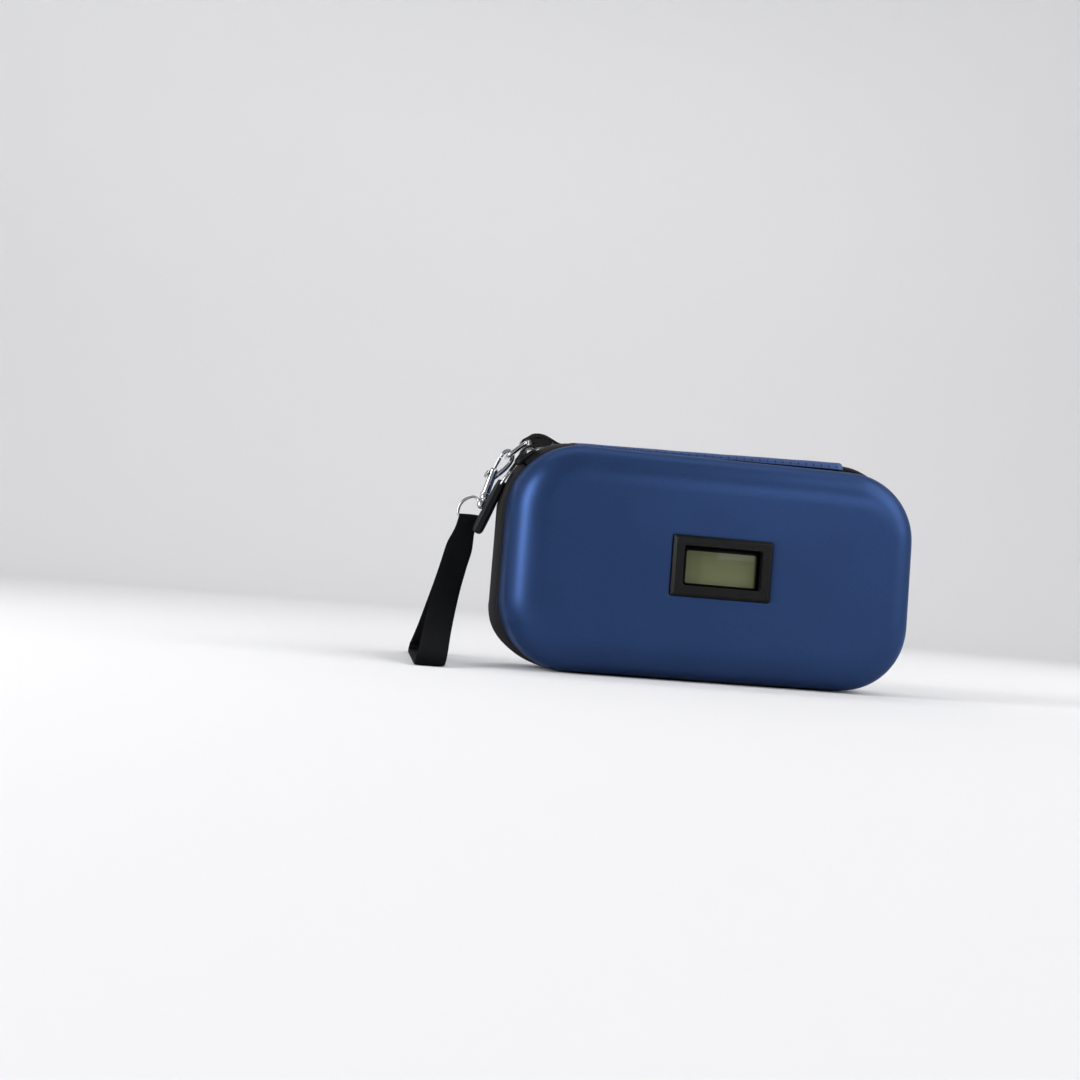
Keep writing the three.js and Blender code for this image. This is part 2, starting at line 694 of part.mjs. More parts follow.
function strapGeometry() {
  const middleX = (eyeBar.left + eyeBar.right) / 2;
  const route = strapRoute().map(([y, z]) => new THREE.Vector3(
    Math.max(strap.footX, middleX - strap.slope * Math.max(0, eyeBar.z - z)), strapSetY + y, z));
  const rings = route.map((point, i) => {
    const before = route[(i + route.length - 1) % route.length];
    const after = route[(i + 1) % route.length];
    const forward = new THREE.Vector3().subVectors(after, before).normalize();
    const upright = THREE.MathUtils.smoothstep(point.z, 8, 40);
    const belowFold = THREE.MathUtils.smoothstep(-point.z, -68, -60);
    const across = new THREE.Vector3(1, 0, -strap.slope * upright * belowFold);
    across.addScaledVector(forward, -across.dot(forward)).normalize();
    const outward = new THREE.Vector3().crossVectors(forward, across);
    const narrowing = THREE.MathUtils.smoothstep(point.z, 54, 66);
    const width = THREE.MathUtils.lerp(strap.width, strap.foldWidth, narrowing);
    return [[1, 1], [-1, 1], [-1, -1], [1, -1]].map(([sideWidth, sideThick]) => point.clone()
      .addScaledVector(across, sideWidth * width / 2)
      .addScaledVector(outward, sideThick * strap.thickness / 2));
  });
  return loft(rings, { closed: true });
}

// Assembly
const assembly = new THREE.Group();
const backHalf = new THREE.Group();
const lidHalf = new THREE.Group();
const pullGroup = leanGroup(gripTop, gripUp);
const hookGroup = leanGroup(ringFar, hookUp);
assembly.add(backHalf, lidHalf, sliderGroup, pullGroup, hookGroup);
assembly.position.y = -restLipY;

function add(group, name, geometry, material) {
  const mesh = new THREE.Mesh(geometry, material);
  mesh.name = name;
  group.add(mesh);
}

const joinedEnd = 137;
const looseStart = 139;
const joinedZip = zipStations(zipStart, joinedEnd);
const looseZip = zipStations(looseStart, zipEnd);
const wholeZip = zipStations(zipStart, zipEnd);

function zipStop(degrees, y0, y1) {
  const group = leanGroup(degrees > 180 ? cornerCentres[3] : cornerCentres[0], along(degrees));
  add(group, degrees > 180 ? 'zip_stop_right' : 'zip_stop_left',
    box(2, y1 - y0, 1, 0, (y0 + y1) / 2, cornerRadius + zipBulge + gap + 0.6), steel);
  backHalf.add(group);
}

add(backHalf, 'back_shell', trayGeometry(back, 0, shellWall, 0), shellBlue);
add(backHalf, 'back_liner', trayGeometry(back, linerOffset, linerInside, linerFrom), foilSilver);
add(backHalf, 'back_zip_tape', alongZip(wholeZip, 1, tapeSection), tapeBlack);
add(backHalf, 'back_zip_coil', alongZip(wholeZip, 1, coilSection), coilBlack);
add(backHalf, 'joined_zip_tape',
  alongZip(joinedZip, -1, (bulge) => tapeSection(bulge, false)), tapeBlack);
add(backHalf, 'joined_zip_coil', alongZip(joinedZip, -1, coilSection), coilBlack);
add(backHalf, 'hinge_strip_back', hingeLeaf(1), stripBlue);
add(backHalf, 'ring_tab', ringTab(), webbingBlack);
zipStop(93.5, -2.4, 2.4);
zipStop(446.5, zipHalfGap, 2.6);

const gel = { width: 168, height: 58, crown: 5.6, margin: 7, z: 48 };
const gelY = pocket.y + pocket.thickness + 2 * gap + gel.crown + gelFilm;
const gelPack = gelPouch(gel.width, gel.height, gel.crown, gel.margin);
add(backHalf, 'gel_pack', gelPack.translate(0, gelY, gel.z), gelBlue);
const pocketNet = extrudeAlongY(pocketShape(), pocket.y, pocket.y + pocket.thickness);
add(backHalf, 'pocket_net', pocketNet, netGrey);
const bandZ = pocket.top + gap + pocket.bandHeight / 2;
add(backHalf, 'pocket_band',
  box(2 * pocket.halfWidth, pocket.bandThickness, pocket.bandHeight, 0, pocket.y + 0.4, bandZ), webbingBlack);

const shellHole = box(housing.width + 2 * gap, 12, housing.height + 2 * gap, 0, lidFaceY, midZ);
const linerHole = box(housing.width + 7, 12, housing.height + 1.4, 0, linerFaceY, midZ);
add(lidHalf, 'front_shell', cut(trayGeometry(lid, 0, shellWall, 0), shellHole), shellBlue);
add(lidHalf, 'front_liner',
  cut(trayGeometry(lid, linerOffset, linerInside, linerFrom), linerHole), foilSilver);
add(lidHalf, 'front_zip_tape', alongZip(looseZip, -1, tapeSection), tapeBlack);
add(lidHalf, 'front_zip_coil', alongZip(looseZip, -1, coilSection), coilBlack);
add(lidHalf, 'hinge_strip_front', hingeLeaf(-1), stripBlue);
[[-1, 1], [1, 1], [-1, -1], [1, -1]].forEach(([sideX, sideZ], i) => {
  add(lidHalf, `pen_loop_${i + 1}`, penLoop(sideX * 52, midZ + sideZ * 22), webbingBlack);
});
add(lidHalf, 'display_frame', displayFrame(), frameBlack);
add(lidHalf, 'display_glass', box(41, 2.2, 20, 0, glassBackY - 1.1, midZ), glassOlive);
add(lidHalf, 'contact_strip', box(37, 3, 2, 0, stripBackY - 1.5, midZ - 8.6), rubberGrey);
const boardY = boardBackY - boardSize.thickness / 2;
add(lidHalf, 'circuit_board',
  box(boardSize.width, boardSize.thickness, boardSize.height, 0, boardY, midZ), boardGreen);
for (const [name, side] of [['button_cell_left', -1], ['button_cell_right', 1]]) {
  const cellX = doorX + side * 6.2;
  add(lidHalf, name, cylinderAlongY(cellRadius, cellBackY - cellThickness, cellBackY, cellX, midZ), steel);
}
add(lidHalf, 'rear_cover', rearCover(), frameBlack);
const batteryDoor = box(doorSize.width, doorSize.thickness, doorSize.height, doorX, 0, midZ);
add(lidHalf, 'battery_door', batteryDoor.translate(0, coverFrontY + doorSize.thickness / 2, 0), frameBlack);
add(lidHalf, 'clip_left', sideClip(-1), frameBlack);
add(lidHalf, 'clip_right', sideClip(1), frameBlack);
add(lidHalf, 'sensor_cap', cylinderAlongY(2.2, coverFrontY + 1.5, coverFrontY + 8, 16, midZ, 12), steel);

add(sliderGroup, 'zip_slider', sliderGeometry(), steel);
add(assembly, 'pull_bail',
  wireFrame(pullPivot, gripTop, bailHalfWidth, bailBend, bailRadius, bailSides), steel);
add(pullGroup, 'pull_grip', pullGrip(), coilBlack);

add(assembly, 'tab_ring',
  wireFrame(tabFold, ringFar, ringHalfWidth, ringBend, ringRadius, ringSides), steel);
add(hookGroup, 'hook_body', hookBody(), steel);
add(hookGroup, 'gate_pin',
  cylinderAlongY(gatePinRadius, -2.6, 2.6, gatePivot.x, gatePivot.z, 10), steel);
const gateSpring = new THREE.CylinderGeometry(0.8, 0.8, 1.2, 8).rotateX(Math.PI / 2);
add(hookGroup, 'gate_spring', gateSpring.translate(-0.2, 0, -18.8), steel);
add(hookGroup, 'hook_gate', hookGate(), steel);
hookGroup.updateMatrix();
const hookToCase = hookGroup.matrix;
const swivelApex = new THREE.Vector3(0, 0, -28.4).applyMatrix4(hookToCase);
add(assembly, 'swivel_eye', join(swivelStem().applyMatrix4(hookToCase), swivelEye(swivelApex)), steel);
add(assembly, 'wrist_strap', strapGeometry(), webbingBlack);

export default assembly;
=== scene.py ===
import math

import bmesh
import bpy
from mathutils import Matrix, Vector, noise


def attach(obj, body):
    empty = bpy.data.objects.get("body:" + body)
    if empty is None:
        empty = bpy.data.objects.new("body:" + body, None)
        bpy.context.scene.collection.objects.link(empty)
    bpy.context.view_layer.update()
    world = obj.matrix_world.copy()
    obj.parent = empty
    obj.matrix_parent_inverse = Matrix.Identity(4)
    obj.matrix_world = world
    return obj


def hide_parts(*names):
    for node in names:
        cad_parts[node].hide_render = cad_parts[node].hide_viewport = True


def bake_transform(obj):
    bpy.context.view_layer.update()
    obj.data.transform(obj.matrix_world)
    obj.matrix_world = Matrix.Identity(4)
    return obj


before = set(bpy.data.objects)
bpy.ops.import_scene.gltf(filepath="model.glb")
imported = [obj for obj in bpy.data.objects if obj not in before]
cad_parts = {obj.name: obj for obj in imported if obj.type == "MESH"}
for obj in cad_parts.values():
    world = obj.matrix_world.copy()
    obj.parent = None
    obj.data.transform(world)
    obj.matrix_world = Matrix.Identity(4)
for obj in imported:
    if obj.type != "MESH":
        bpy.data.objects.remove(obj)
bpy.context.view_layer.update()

scene = bpy.context.scene
scene.view_settings.view_transform = "Standard"


def addObject(name, data):
    made = bpy.data.objects.new(name, data)
    scene.collection.objects.link(made)
    return made


# camera at the photograph's viewpoint
shot = {"place": (-0.156552, -0.537293, 0.031111), "turn": (93.297, -4.628, -8.320), "lens": 36.82}
cameraData = bpy.data.cameras.new("camera")
cameraData.lens = shot["lens"]
cameraData.clip_start = 0.02
camera = addObject("camera", cameraData)
camera.location = shot["place"]
camera.rotation_euler = [math.radians(a) for a in shot["turn"]]
scene.camera = camera
print("camera set")


# finishes: one node tree each, with shader maths written as expressions
class Signal:
    def __init__(self, finish, socket):
        self.finish = finish
        self.socket = socket

    def __add__(self, other):
        return self.finish.maths("ADD", self, other)

    def __radd__(self, other):
        return self.finish.maths("ADD", other, self)

    def __sub__(self, other):
        return self.finish.maths("SUBTRACT", self, other)

    def __rsub__(self, other):
        return self.finish.maths("SUBTRACT", other, self)

    def __mul__(self, other):
        return self.finish.maths("MULTIPLY", self, other)

    def __rmul__(self, other):
        return self.finish.maths("MULTIPLY", other, self)

    def __truediv__(self, other):
        return self.finish.maths("DIVIDE", self, other)


class Finish:
    def __init__(self, name, block=bpy.data.materials, shader="Principled BSDF"):
        self.material = block.new(name)
        self.material.use_nodes = True
        self.tree = self.material.node_tree
        self.shader = self.tree.nodes[shader]

    def node(self, kind, settings=None, sockets=None, out=0):
        made = self.tree.nodes.new("ShaderNode" + kind)
        for key, value in (settings or {}).items():
            setattr(made, key, value)
        for key, value in (sockets or {}).items():
            self.feed(made.inputs[key], value)
        return Signal(self, made.outputs[out])

    def feed(self, socket, value):
        if isinstance(value, Signal):
            self.tree.links.new(value.socket, socket)
        else:
            socket.default_value = value

    def maths(self, operation, first, second=0.0):
        return self.node("Math", {"operation": operation}, {0: first, 1: second})

    def wave(self, value, length):
        return self.maths("SINE", value * (2 * math.pi / length))

    def spot(self):
        return self.node("TexCoord", out="Object")

    def stretch(self, vector, scale, turn=(0, 0, 0)):
        return self.node("Mapping", None, {"Vector": vector, "Scale": scale, "Rotation": turn})

    def parts(self, vector):
        split = self.tree.nodes.new("ShaderNodeSeparateXYZ")
        self.feed(split.inputs[0], vector)
        return [Signal(self, s) for s in split.outputs]

    def weave(self):
        return self.parts(self.node("UVMap", {"uv_map": "weave"}))[:2]

    def noise(self, vector, scale, detail=2.0, kind="FBM"):
        return self.node("TexNoise", {"noise_type": kind},
                         {"Vector": vector, "Scale": scale, "Detail": detail})

    def cells(self, vector, scale):
        return self.node("TexVoronoi", None, {"Vector": vector, "Scale": scale})

    def ease(self, value, low, high, fromValue=0.0, toValue=1.0):
        return self.node("MapRange", {"interpolation_type": "SMOOTHSTEP"},
                         {"Value": value, "From Min": low, "From Max": high,
                          "To Min": fromValue, "To Max": toValue})

    def tint(self, share, first, second):
        return self.node("Mix", {"data_type": "RGBA"}, {0: share, 6: first, 7: second}, out=2)

    def relief(self, height, strength, distance):
        bump = self.node("Bump", None, {"Strength": strength, "Distance": distance, "Height": height})
        self.feed(self.shader.inputs["Normal"], bump)
        return self

    def shade(self, **sockets):
        for key, value in sockets.items():
            self.feed(self.shader.inputs[key.replace("_", " ")], value)
        return self


def rgb(red, green, blue):  # screen colour from 0 to 255, as the shader wants it
    def linear(c):
        c = c / 255
        return c / 12.92 if c <= 0.04045 else ((c + 0.055) / 1.055) ** 2.4
    return (linear(red), linear(green), linear(blue), 1)


def skinFinish(name, deep, lit, metallic, roughness):  # satin coated skin over moulded foam
    f = Finish(name)
    spot = f.spot()
    cloud = f.noise(spot, 24, 3)
    grain = f.noise(spot, 1300, 3)
    pebble = f.cells(spot, 1100)
    wear = f.ease(f.noise(spot, 320, 4), 0.66, 0.8)
    f.shade(Base_Color=f.tint(0.1 + cloud * 0.35 + grain * 0.6 + wear * 0.06, deep, lit),
            Roughness=roughness + 0.05 * cloud + 0.07 * grain, Metallic=metallic)
    f.shade(Specular_IOR_Level=0.1, Specular_Tint=(0.5, 0.6, 0.8, 1))
    return f.relief(grain * 0.8 + pebble * 0.4, 0.32, 0.00006)


def plasticFinish(name, dark, light, roughness, grainScale=1600, gloss=0.14):  # spark-textured moulding
    f = Finish(name)
    spot = f.spot()
    cloud = f.noise(spot, 60, 3)
    grain = f.noise(spot, grainScale, 3)
    scuff = f.ease(f.noise(f.stretch(spot, (1, 1, 6)), 260, 5), 0.62, 0.74)
    f.shade(Base_Color=f.tint(cloud * 0.7 + scuff * 0.3, dark, light),
            Roughness=roughness + 0.1 * grain - 0.08 * scuff)
    f.shade(Specular_IOR_Level=gloss)
    return f.relief(grain, 0.3, 0.00005)


def steelFinish(name, colour, roughness):  # plated bright metal with fine handling marks
    f = Finish(name)
    spot = f.spot()
    haze = f.noise(spot, 300, 3)
    hair = f.noise(f.stretch(spot, (1, 1, 14), (0.3, 0.5, 0)), 700, 4)
    f.shade(Base_Color=f.tint(haze, colour, tuple(0.86 * c for c in colour[:3]) + (1,)),
            Roughness=roughness + 0.12 * f.ease(hair, 0.52, 0.75), Metallic=1.0)
    return f.relief(hair * 0.5 + haze * 0.5, 0.08, 0.00003)


# woven band: u runs along it, and a quarter of v's way round reaches from an edge to the middle
def webbingFinish(name, dark, light, along, across, quarter, roughness, sheen, gloss):
    f = Finish(name)
    u, v = f.weave()
    knot = f.wave(u, along) * f.wave(v, across) * 0.5 + 0.5
    fuzz = f.noise(f.spot(), 1900, 3)
    selvage = f.ease(f.maths("PINGPONG", v, quarter) / quarter, 0.1, 0.2, 1.0, 0.0)
    rib = f.wave(u, along * 1.1) * 0.5 + 0.5
    height = f.ease(selvage, 0, 1) * (rib - knot) + knot
    f.shade(Base_Color=f.tint(height * 0.55 + fuzz * 0.3 + selvage * rib * 0.5, dark, light),
            Roughness=roughness + 0.15 * fuzz)
    f.shade(Sheen_Weight=sheen, Sheen_Roughness=0.5, Specular_IOR_Level=gloss)
    return f.relief(height * 0.8 + fuzz * 0.35, 0.7, 0.00016)


def tapeFinish(name, dark, light):  # herringbone zip tape
    f = Finish(name)
    u, v = f.weave()
    fold = f.maths("PINGPONG", v, 0.0011)
    rib = f.wave(u + fold * 1.1, 0.0009) * 0.5 + 0.5
    cord = f.wave(v, 0.0011) * 0.5 + 0.5
    fuzz = f.noise(f.spot(), 2600, 2)
    f.shade(Base_Color=f.tint(rib * 0.6 + fuzz * 0.4, dark, light), Roughness=0.7 + 0.2 * fuzz)
    f.shade(Sheen_Weight=0.12, Sheen_Roughness=0.4, Specular_IOR_Level=0.25)
    return f.relief(rib * 0.7 + cord * 0.3 + fuzz * 0.3, 0.65, 0.00012)


def foilFinish(name):  # aluminium film on foam, crazed by handling
    f = Finish(name)
    spot = f.spot()
    crease = f.noise(spot, 70, 5, "RIDGED_MULTIFRACTAL")
    facet = f.cells(spot, 190)
    cloud = f.noise(spot, 40, 2)
    f.shade(Base_Color=f.tint(cloud, rgb(186, 190, 196), rgb(224, 226, 229)),
            Roughness=0.3 + 0.18 * facet + 0.1 * cloud, Metallic=0.85)
    return f.relief(crease * 0.5 + facet * 0.6, 0.5, 0.0004)


def rubberFinish(name, dark, light, period):  # striped contact strip
    f = Finish(name)
    spot = f.spot()
    band = f.ease(f.wave(f.parts(spot)[0], period), -0.1, 0.1)
    dust = f.noise(spot, 1200, 3)
    f.shade(Base_Color=f.tint(band * 0.8 + dust * 0.2, dark, light), Roughness=0.6 + 0.2 * dust)
    return f.relief(band + dust * 0.3, 0.2, 0.00004)


def boardFinish(name):  # solder-masked board with copper tracks
    f = Finish(name)
    spot = f.spot()
    tracks = f.node("TexBrick", None, {
        "Vector": f.stretch(spot, (1, 1, 1), (math.pi / 2, 0, 0)), "Scale": 260.0, "Mortar Size": 0.03,
        "Color1": (0, 0, 0, 1), "Color2": (0, 0, 0, 1), "Mortar": (1, 1, 1, 1)})
    cloud = f.noise(spot, 120, 3)
    f.shade(Base_Color=f.tint(tracks, rgb(26, 84, 52), rgb(64, 128, 78)), Roughness=0.38 + 0.15 * cloud)
    return f.relief(tracks, 0.3, 0.00004)


# edge is the border's soft width; eight edge widths make the painted shadow along the view's right side
lcdView = {"middle": (0.0004, 0.05385), "half": (0.0172, 0.00775), "corner": 0.001, "edge": 0.00025,
           "stripe": 0.0011}


def lcdFinish(name):  # reflective display behind its polariser, with a black border round the view, and painted shade towards its top and along its right edge
    f = Finish(name)
    spot = f.spot()
    x, z = f.parts(spot)[::2]
    (middleX, middleZ), (halfX, halfZ) = lcdView["middle"], lcdView["half"]
    corner, edge = lcdView["corner"], lcdView["edge"]
    stripe = f.wave(x, lcdView["stripe"]) * 0.5 + 0.5
    cloud = f.noise(spot, 45, 2)
    # painted shade: the view gets darker towards its top, as under the bezel's top wall
    shadeTowardsTop = f.ease(z, middleZ - halfZ, middleZ + halfZ, 1.0, 0.0)
    outX = f.maths("MAXIMUM", f.maths("ABSOLUTE", x - middleX) - (halfX - corner), 0.0)
    outZ = f.maths("MAXIMUM", f.maths("ABSOLUTE", z - middleZ) - (halfZ - corner), 0.0)
    # the first factor is the display's black border; the second is a painted shadow that darkens the view's
    # right side, where the recess wall shades it
    view = (f.ease(f.maths("SQRT", outX * outX + outZ * outZ), corner - edge, corner, 1.0, 0.0)
            * f.ease(x, middleX + halfX - edge * 8, middleX + halfX, 1.0, 0.0))
    olive = f.tint(cloud * 0.4 + shadeTowardsTop * 0.5 + stripe * 0.06, rgb(88, 92, 66), rgb(107, 112, 80))
    f.shade(Base_Color=f.tint(view, rgb(2, 2, 3), olive), Roughness=0.3 + 0.05 * cloud,
            Coat_Weight=view * 0.15)
    f.shade(Coat_Roughness=0.06, Specular_IOR_Level=0.08)
    return f.relief(stripe, 0.03, 0.00001)


def gelFinish(name):  # blue gel in clear film, with bubbles
    f = Finish(name)
    spot = f.spot()
    cloud = f.noise(spot, 26, 4)
    bubble = f.ease(f.cells(spot, 150), 0.1, 0.2, 1.0, 0.0) * f.ease(f.noise(spot, 40, 1), 0.5, 0.6)
    crinkle = f.noise(spot, 110, 4, "RIDGED_MULTIFRACTAL")
    margin = f.node("Attribute", {"attribute_name": "weld"}, out="Fac")
    gelColour = f.tint(cloud, rgb(10, 40, 140), rgb(36, 120, 214))
    lit = f.tint(bubble * 0.6, gelColour, rgb(150, 200, 240))
    f.shade(Base_Color=f.tint(margin, lit, rgb(205, 214, 224)),
            Roughness=0.1 + 0.1 * crinkle, Alpha=1 - margin * 0.45)
    f.shade(Coat_Weight=0.8, Coat_Roughness=0.05, Specular_IOR_Level=0.6)
    return f.relief(crinkle * 0.5 + bubble * 0.6, 0.4, 0.0003)


def threadFinish(name, dark, light):
    f = Finish(name)
    spot = f.spot()
    twist = f.wave(f.parts(f.stretch(spot, (1, 1, 1), (0, 0.7, 0)))[0], 0.0006) * 0.5 + 0.5
    fuzz = f.noise(spot, 3000, 2)
    f.shade(Base_Color=f.tint(twist * 0.6 + fuzz * 0.4, dark, light), Roughness=0.6 + 0.2 * fuzz)
    return f.relief(twist, 0.5, 0.00006)


needle = {"row": 0.0072, "halfStep": 0.002, "shadedCutEdge": (0.00775, 0.0079)}  # from the strip's middle line


def stripFinish(name, deep, lit):  # the case's skin on a sewn strip, with needle holes along both edges and painted shade at both cut edges
    f = Finish(name)
    spot = f.spot()
    along, across = f.weave()
    cloud = f.noise(spot, 60, 3)
    grain = f.noise(spot, 1300, 3)
    pebble = f.cells(spot, 1100)
    fromMiddle = f.maths("ABSOLUTE", across)
    stepX = f.maths("PINGPONG", along, needle["halfStep"]) / needle["halfStep"]
    edgeY = (fromMiddle - needle["row"]) / needle["halfStep"]
    hole = f.ease(stepX * stepX + edgeY * edgeY, 0.01, 0.05, 1.0, 0.0)
    rim = f.ease(fromMiddle, *needle["shadedCutEdge"])  # painted shade along both edges, standing in for the shadow line under the strip's edge, on the cut edge's dark backing
    plain = f.tint(cloud * 0.7 + grain * 0.3, deep, lit)
    f.shade(Base_Color=f.tint(f.maths("MAXIMUM", hole, rim), plain, rgb(10, 11, 15)),
            Roughness=0.4 + 0.08 * cloud + 0.06 * grain, Metallic=0.45)
    f.shade(Specular_IOR_Level=0.22)
    return f.relief(grain * 0.6 + pebble * 0.5 - hole * 3, 0.25, 0.00006)


shellSkin = skinFinish("shell_skin", rgb(34, 50, 83), rgb(47, 70, 114), 0.7, 0.34)
sliderEnamel = plasticFinish("slider_enamel", rgb(6, 6, 7), rgb(15, 15, 17), 0.2, 700, 0.4)
hingeSkin = stripFinish("hinge_skin", rgb(42, 62, 104), rgb(56, 82, 134))
foilFoam = foilFinish("foil_foam")
zipCloth = tapeFinish("zip_tape", rgb(16, 16, 17), rgb(46, 46, 47))
coilNylon = plasticFinish("zip_coil", rgb(10, 10, 11), rgb(26, 26, 28), 0.4, 900)
strapWeb = webbingFinish("webbing", rgb(2, 3, 4), rgb(12, 13, 15), 0.0011, 0.0013, 0.0071, 0.75, 0.0, 0.1)
tabWeb = webbingFinish("tab_webbing", rgb(2, 2, 3), rgb(7, 7, 8), 0.0012, 0.0016, 0.00485, 0.3, 0.0, 0.22)
elasticTones = (rgb(16, 17, 19), rgb(48, 50, 55))
elasticWeb = webbingFinish("elastic", *elasticTones, 0.0009, 0.0022, 0.0105, 0.75, 0.2, 0.25)
bindingWeb = webbingFinish("binding", *elasticTones, 0.0009, 0.0012, 0.0031, 0.75, 0.2, 0.25)
netThread = threadFinish("net", rgb(24, 26, 30), rgb(66, 70, 78))
gelFilm = gelFinish("gel_film")
framePlastic = plasticFinish("display_plastic", rgb(10, 11, 10), rgb(20, 21, 20), 0.4)
lcdGlass = lcdFinish("display_glass")
contactRubber = rubberFinish("contact_rubber", rgb(60, 62, 66), rgb(150, 152, 156), 0.0008)
boardMask = boardFinish("board")
cellSteel = steelFinish("cell_steel", (0.62, 0.62, 0.61, 1), 0.28)
brightSteel = steelFinish("bright_steel", (0.52, 0.52, 0.53, 1), 0.06)
pullPlastic = plasticFinish("pull_plastic", rgb(4, 5, 6), rgb(13, 14, 15), 0.34, 1100, 0.22)
blueThread = threadFinish("blue_thread", rgb(36, 54, 94), rgb(66, 92, 142))
blackThread = threadFinish("black_thread", rgb(8, 8, 9), rgb(34, 35, 39))
print("finishes made")

# pieces are drawn in millimetres, from the case's parting plane, and settle into the row frame in metres
case = {"length": 200, "height": 108, "corner": 31, "zipGap": 4, "wall": 2.6, "draft": 4, "lip": 5}
midHeight = case["height"] / 2
cornerX, cornerZ = case["length"] / 2 - case["corner"], midHeight - case["corner"]  # the corners' centres
toMetres, partingY = 0.001, -0.0065
toRow = Matrix.Translation((0, partingY, 0)) @ Matrix.Scale(toMetres, 4)


def drawn(bm, name, finish):
    mesh = bpy.data.meshes.new(name)
    bm.to_mesh(mesh)
    bm.free()
    mesh.shade_smooth()
    mesh.materials.append(finish.material)
    return addObject(name, mesh)


def settle(bm, name, finish, body=None, stands=(), sharp=42, recalc=True):
    if recalc:
        bmesh.ops.recalc_face_normals(bm, faces=bm.faces)
    bmesh.ops.transform(bm, matrix=toRow, verts=bm.verts)
    piece = drawn(bm, name, finish)
    piece.data.set_sharp_from_angle(angle=math.radians(sharp))
    if body:
        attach(piece, body)
    if stands:
        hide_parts(*stands)
    return piece


def smoothOver(piece, levels):
    subsurf = piece.modifiers.new("subdivision", "SUBSURF")
    subsurf.levels = levels
    subsurf.render_levels = levels


def thicken(piece, millimetres, even=True):  # inwards
    solidify = piece.modifiers.new("wall", "SOLIDIFY")
    solidify.thickness = millimetres * toMetres
    solidify.offset = -1
    solidify.use_even_offset = even


def easeEdges(piece, millimetres, segments=2, weld=False):
    if weld:
        join = piece.modifiers.new("weld", "WELD")
        join.merge_threshold = 0.00001
    bevel = piece.modifiers.new("bevel", "BEVEL")
    bevel.width = millimetres * toMetres
    bevel.segments = segments
    bevel.limit_method = "ANGLE"
    bevel.angle_limit = math.radians(30)


def absorb(bm, part, matrix=Matrix()):
    part.transform(matrix)
    carrier = bpy.data.meshes.new("carrier")
    part.to_mesh(carrier)
    part.free()
    bm.from_mesh(carrier)
    bpy.data.meshes.remove(carrier)


def roundOver(part, geom, offset, segments=2, affect="EDGES"):
    bmesh.ops.bevel(part, geom=geom, offset=offset, offset_type="OFFSET", affect=affect, segments=segments,
                    profile=0.5, material=-1)


def roundRim(part, offset):  # eases the sharp edges alone
    roundOver(part, [e for e in part.edges if e.calc_face_angle(0) > 1.2], offset)


def block(size, ease):  # box with eased edges
    part = bmesh.new()
    bmesh.ops.create_cube(part, size=1)
    bmesh.ops.scale(part, vec=size, verts=part.verts)
    roundOver(part, part.edges[:], ease)
    return part


def roundedPlate(width, height, radius, segments):
    part = bmesh.new()
    verts = bmesh.ops.create_grid(part, x_segments=1, y_segments=1, size=0.5)["verts"]
    bmesh.ops.scale(part, vec=(width, height, 1), verts=verts)
    roundOver(part, verts, radius, segments, "VERTICES")
    return part


def roundedLoop(bm, width, height, radius, y, midZ, segments, cuts):  # rounded rectangle facing the front
    part = roundedPlate(width, height, radius, segments)
    bmesh.ops.delete(part, geom=part.faces[:], context="FACES_ONLY")
    straight = sorted(part.edges, key=lambda e: -e.calc_length())[:4]
    level = [e for e in straight if abs(e.verts[0].co.y - e.verts[1].co.y) < 1e-4]
    upright = [e for e in straight if e not in level]
    bmesh.ops.subdivide_edges(part, edges=level, cuts=cuts[0])
    bmesh.ops.subdivide_edges(part, edges=upright, cuts=cuts[1])
    first = len(bm.edges)
    absorb(bm, part, Matrix.Translation((0, y, midZ)) @ Matrix.Rotation(math.pi / 2, 4, "X"))
    bm.edges.ensure_lookup_table()
    return bm.edges[first:]


def stackLoops(bm, rows, segments, cuts, closed=False, fillLast=False):
    loops = [roundedLoop(bm, *row[:4], midHeight + sum(row[4:]), segments, cuts) for row in rows]
    pairs = list(zip(loops, loops[1:])) + ([(loops[-1], loops[0])] if closed else [])
    for lower, upper in pairs:
        bmesh.ops.bridge_loops(bm, edges=lower + upper)
    if fillLast:
        bmesh.ops.edgeloop_fill(bm, edges=loops[-1])


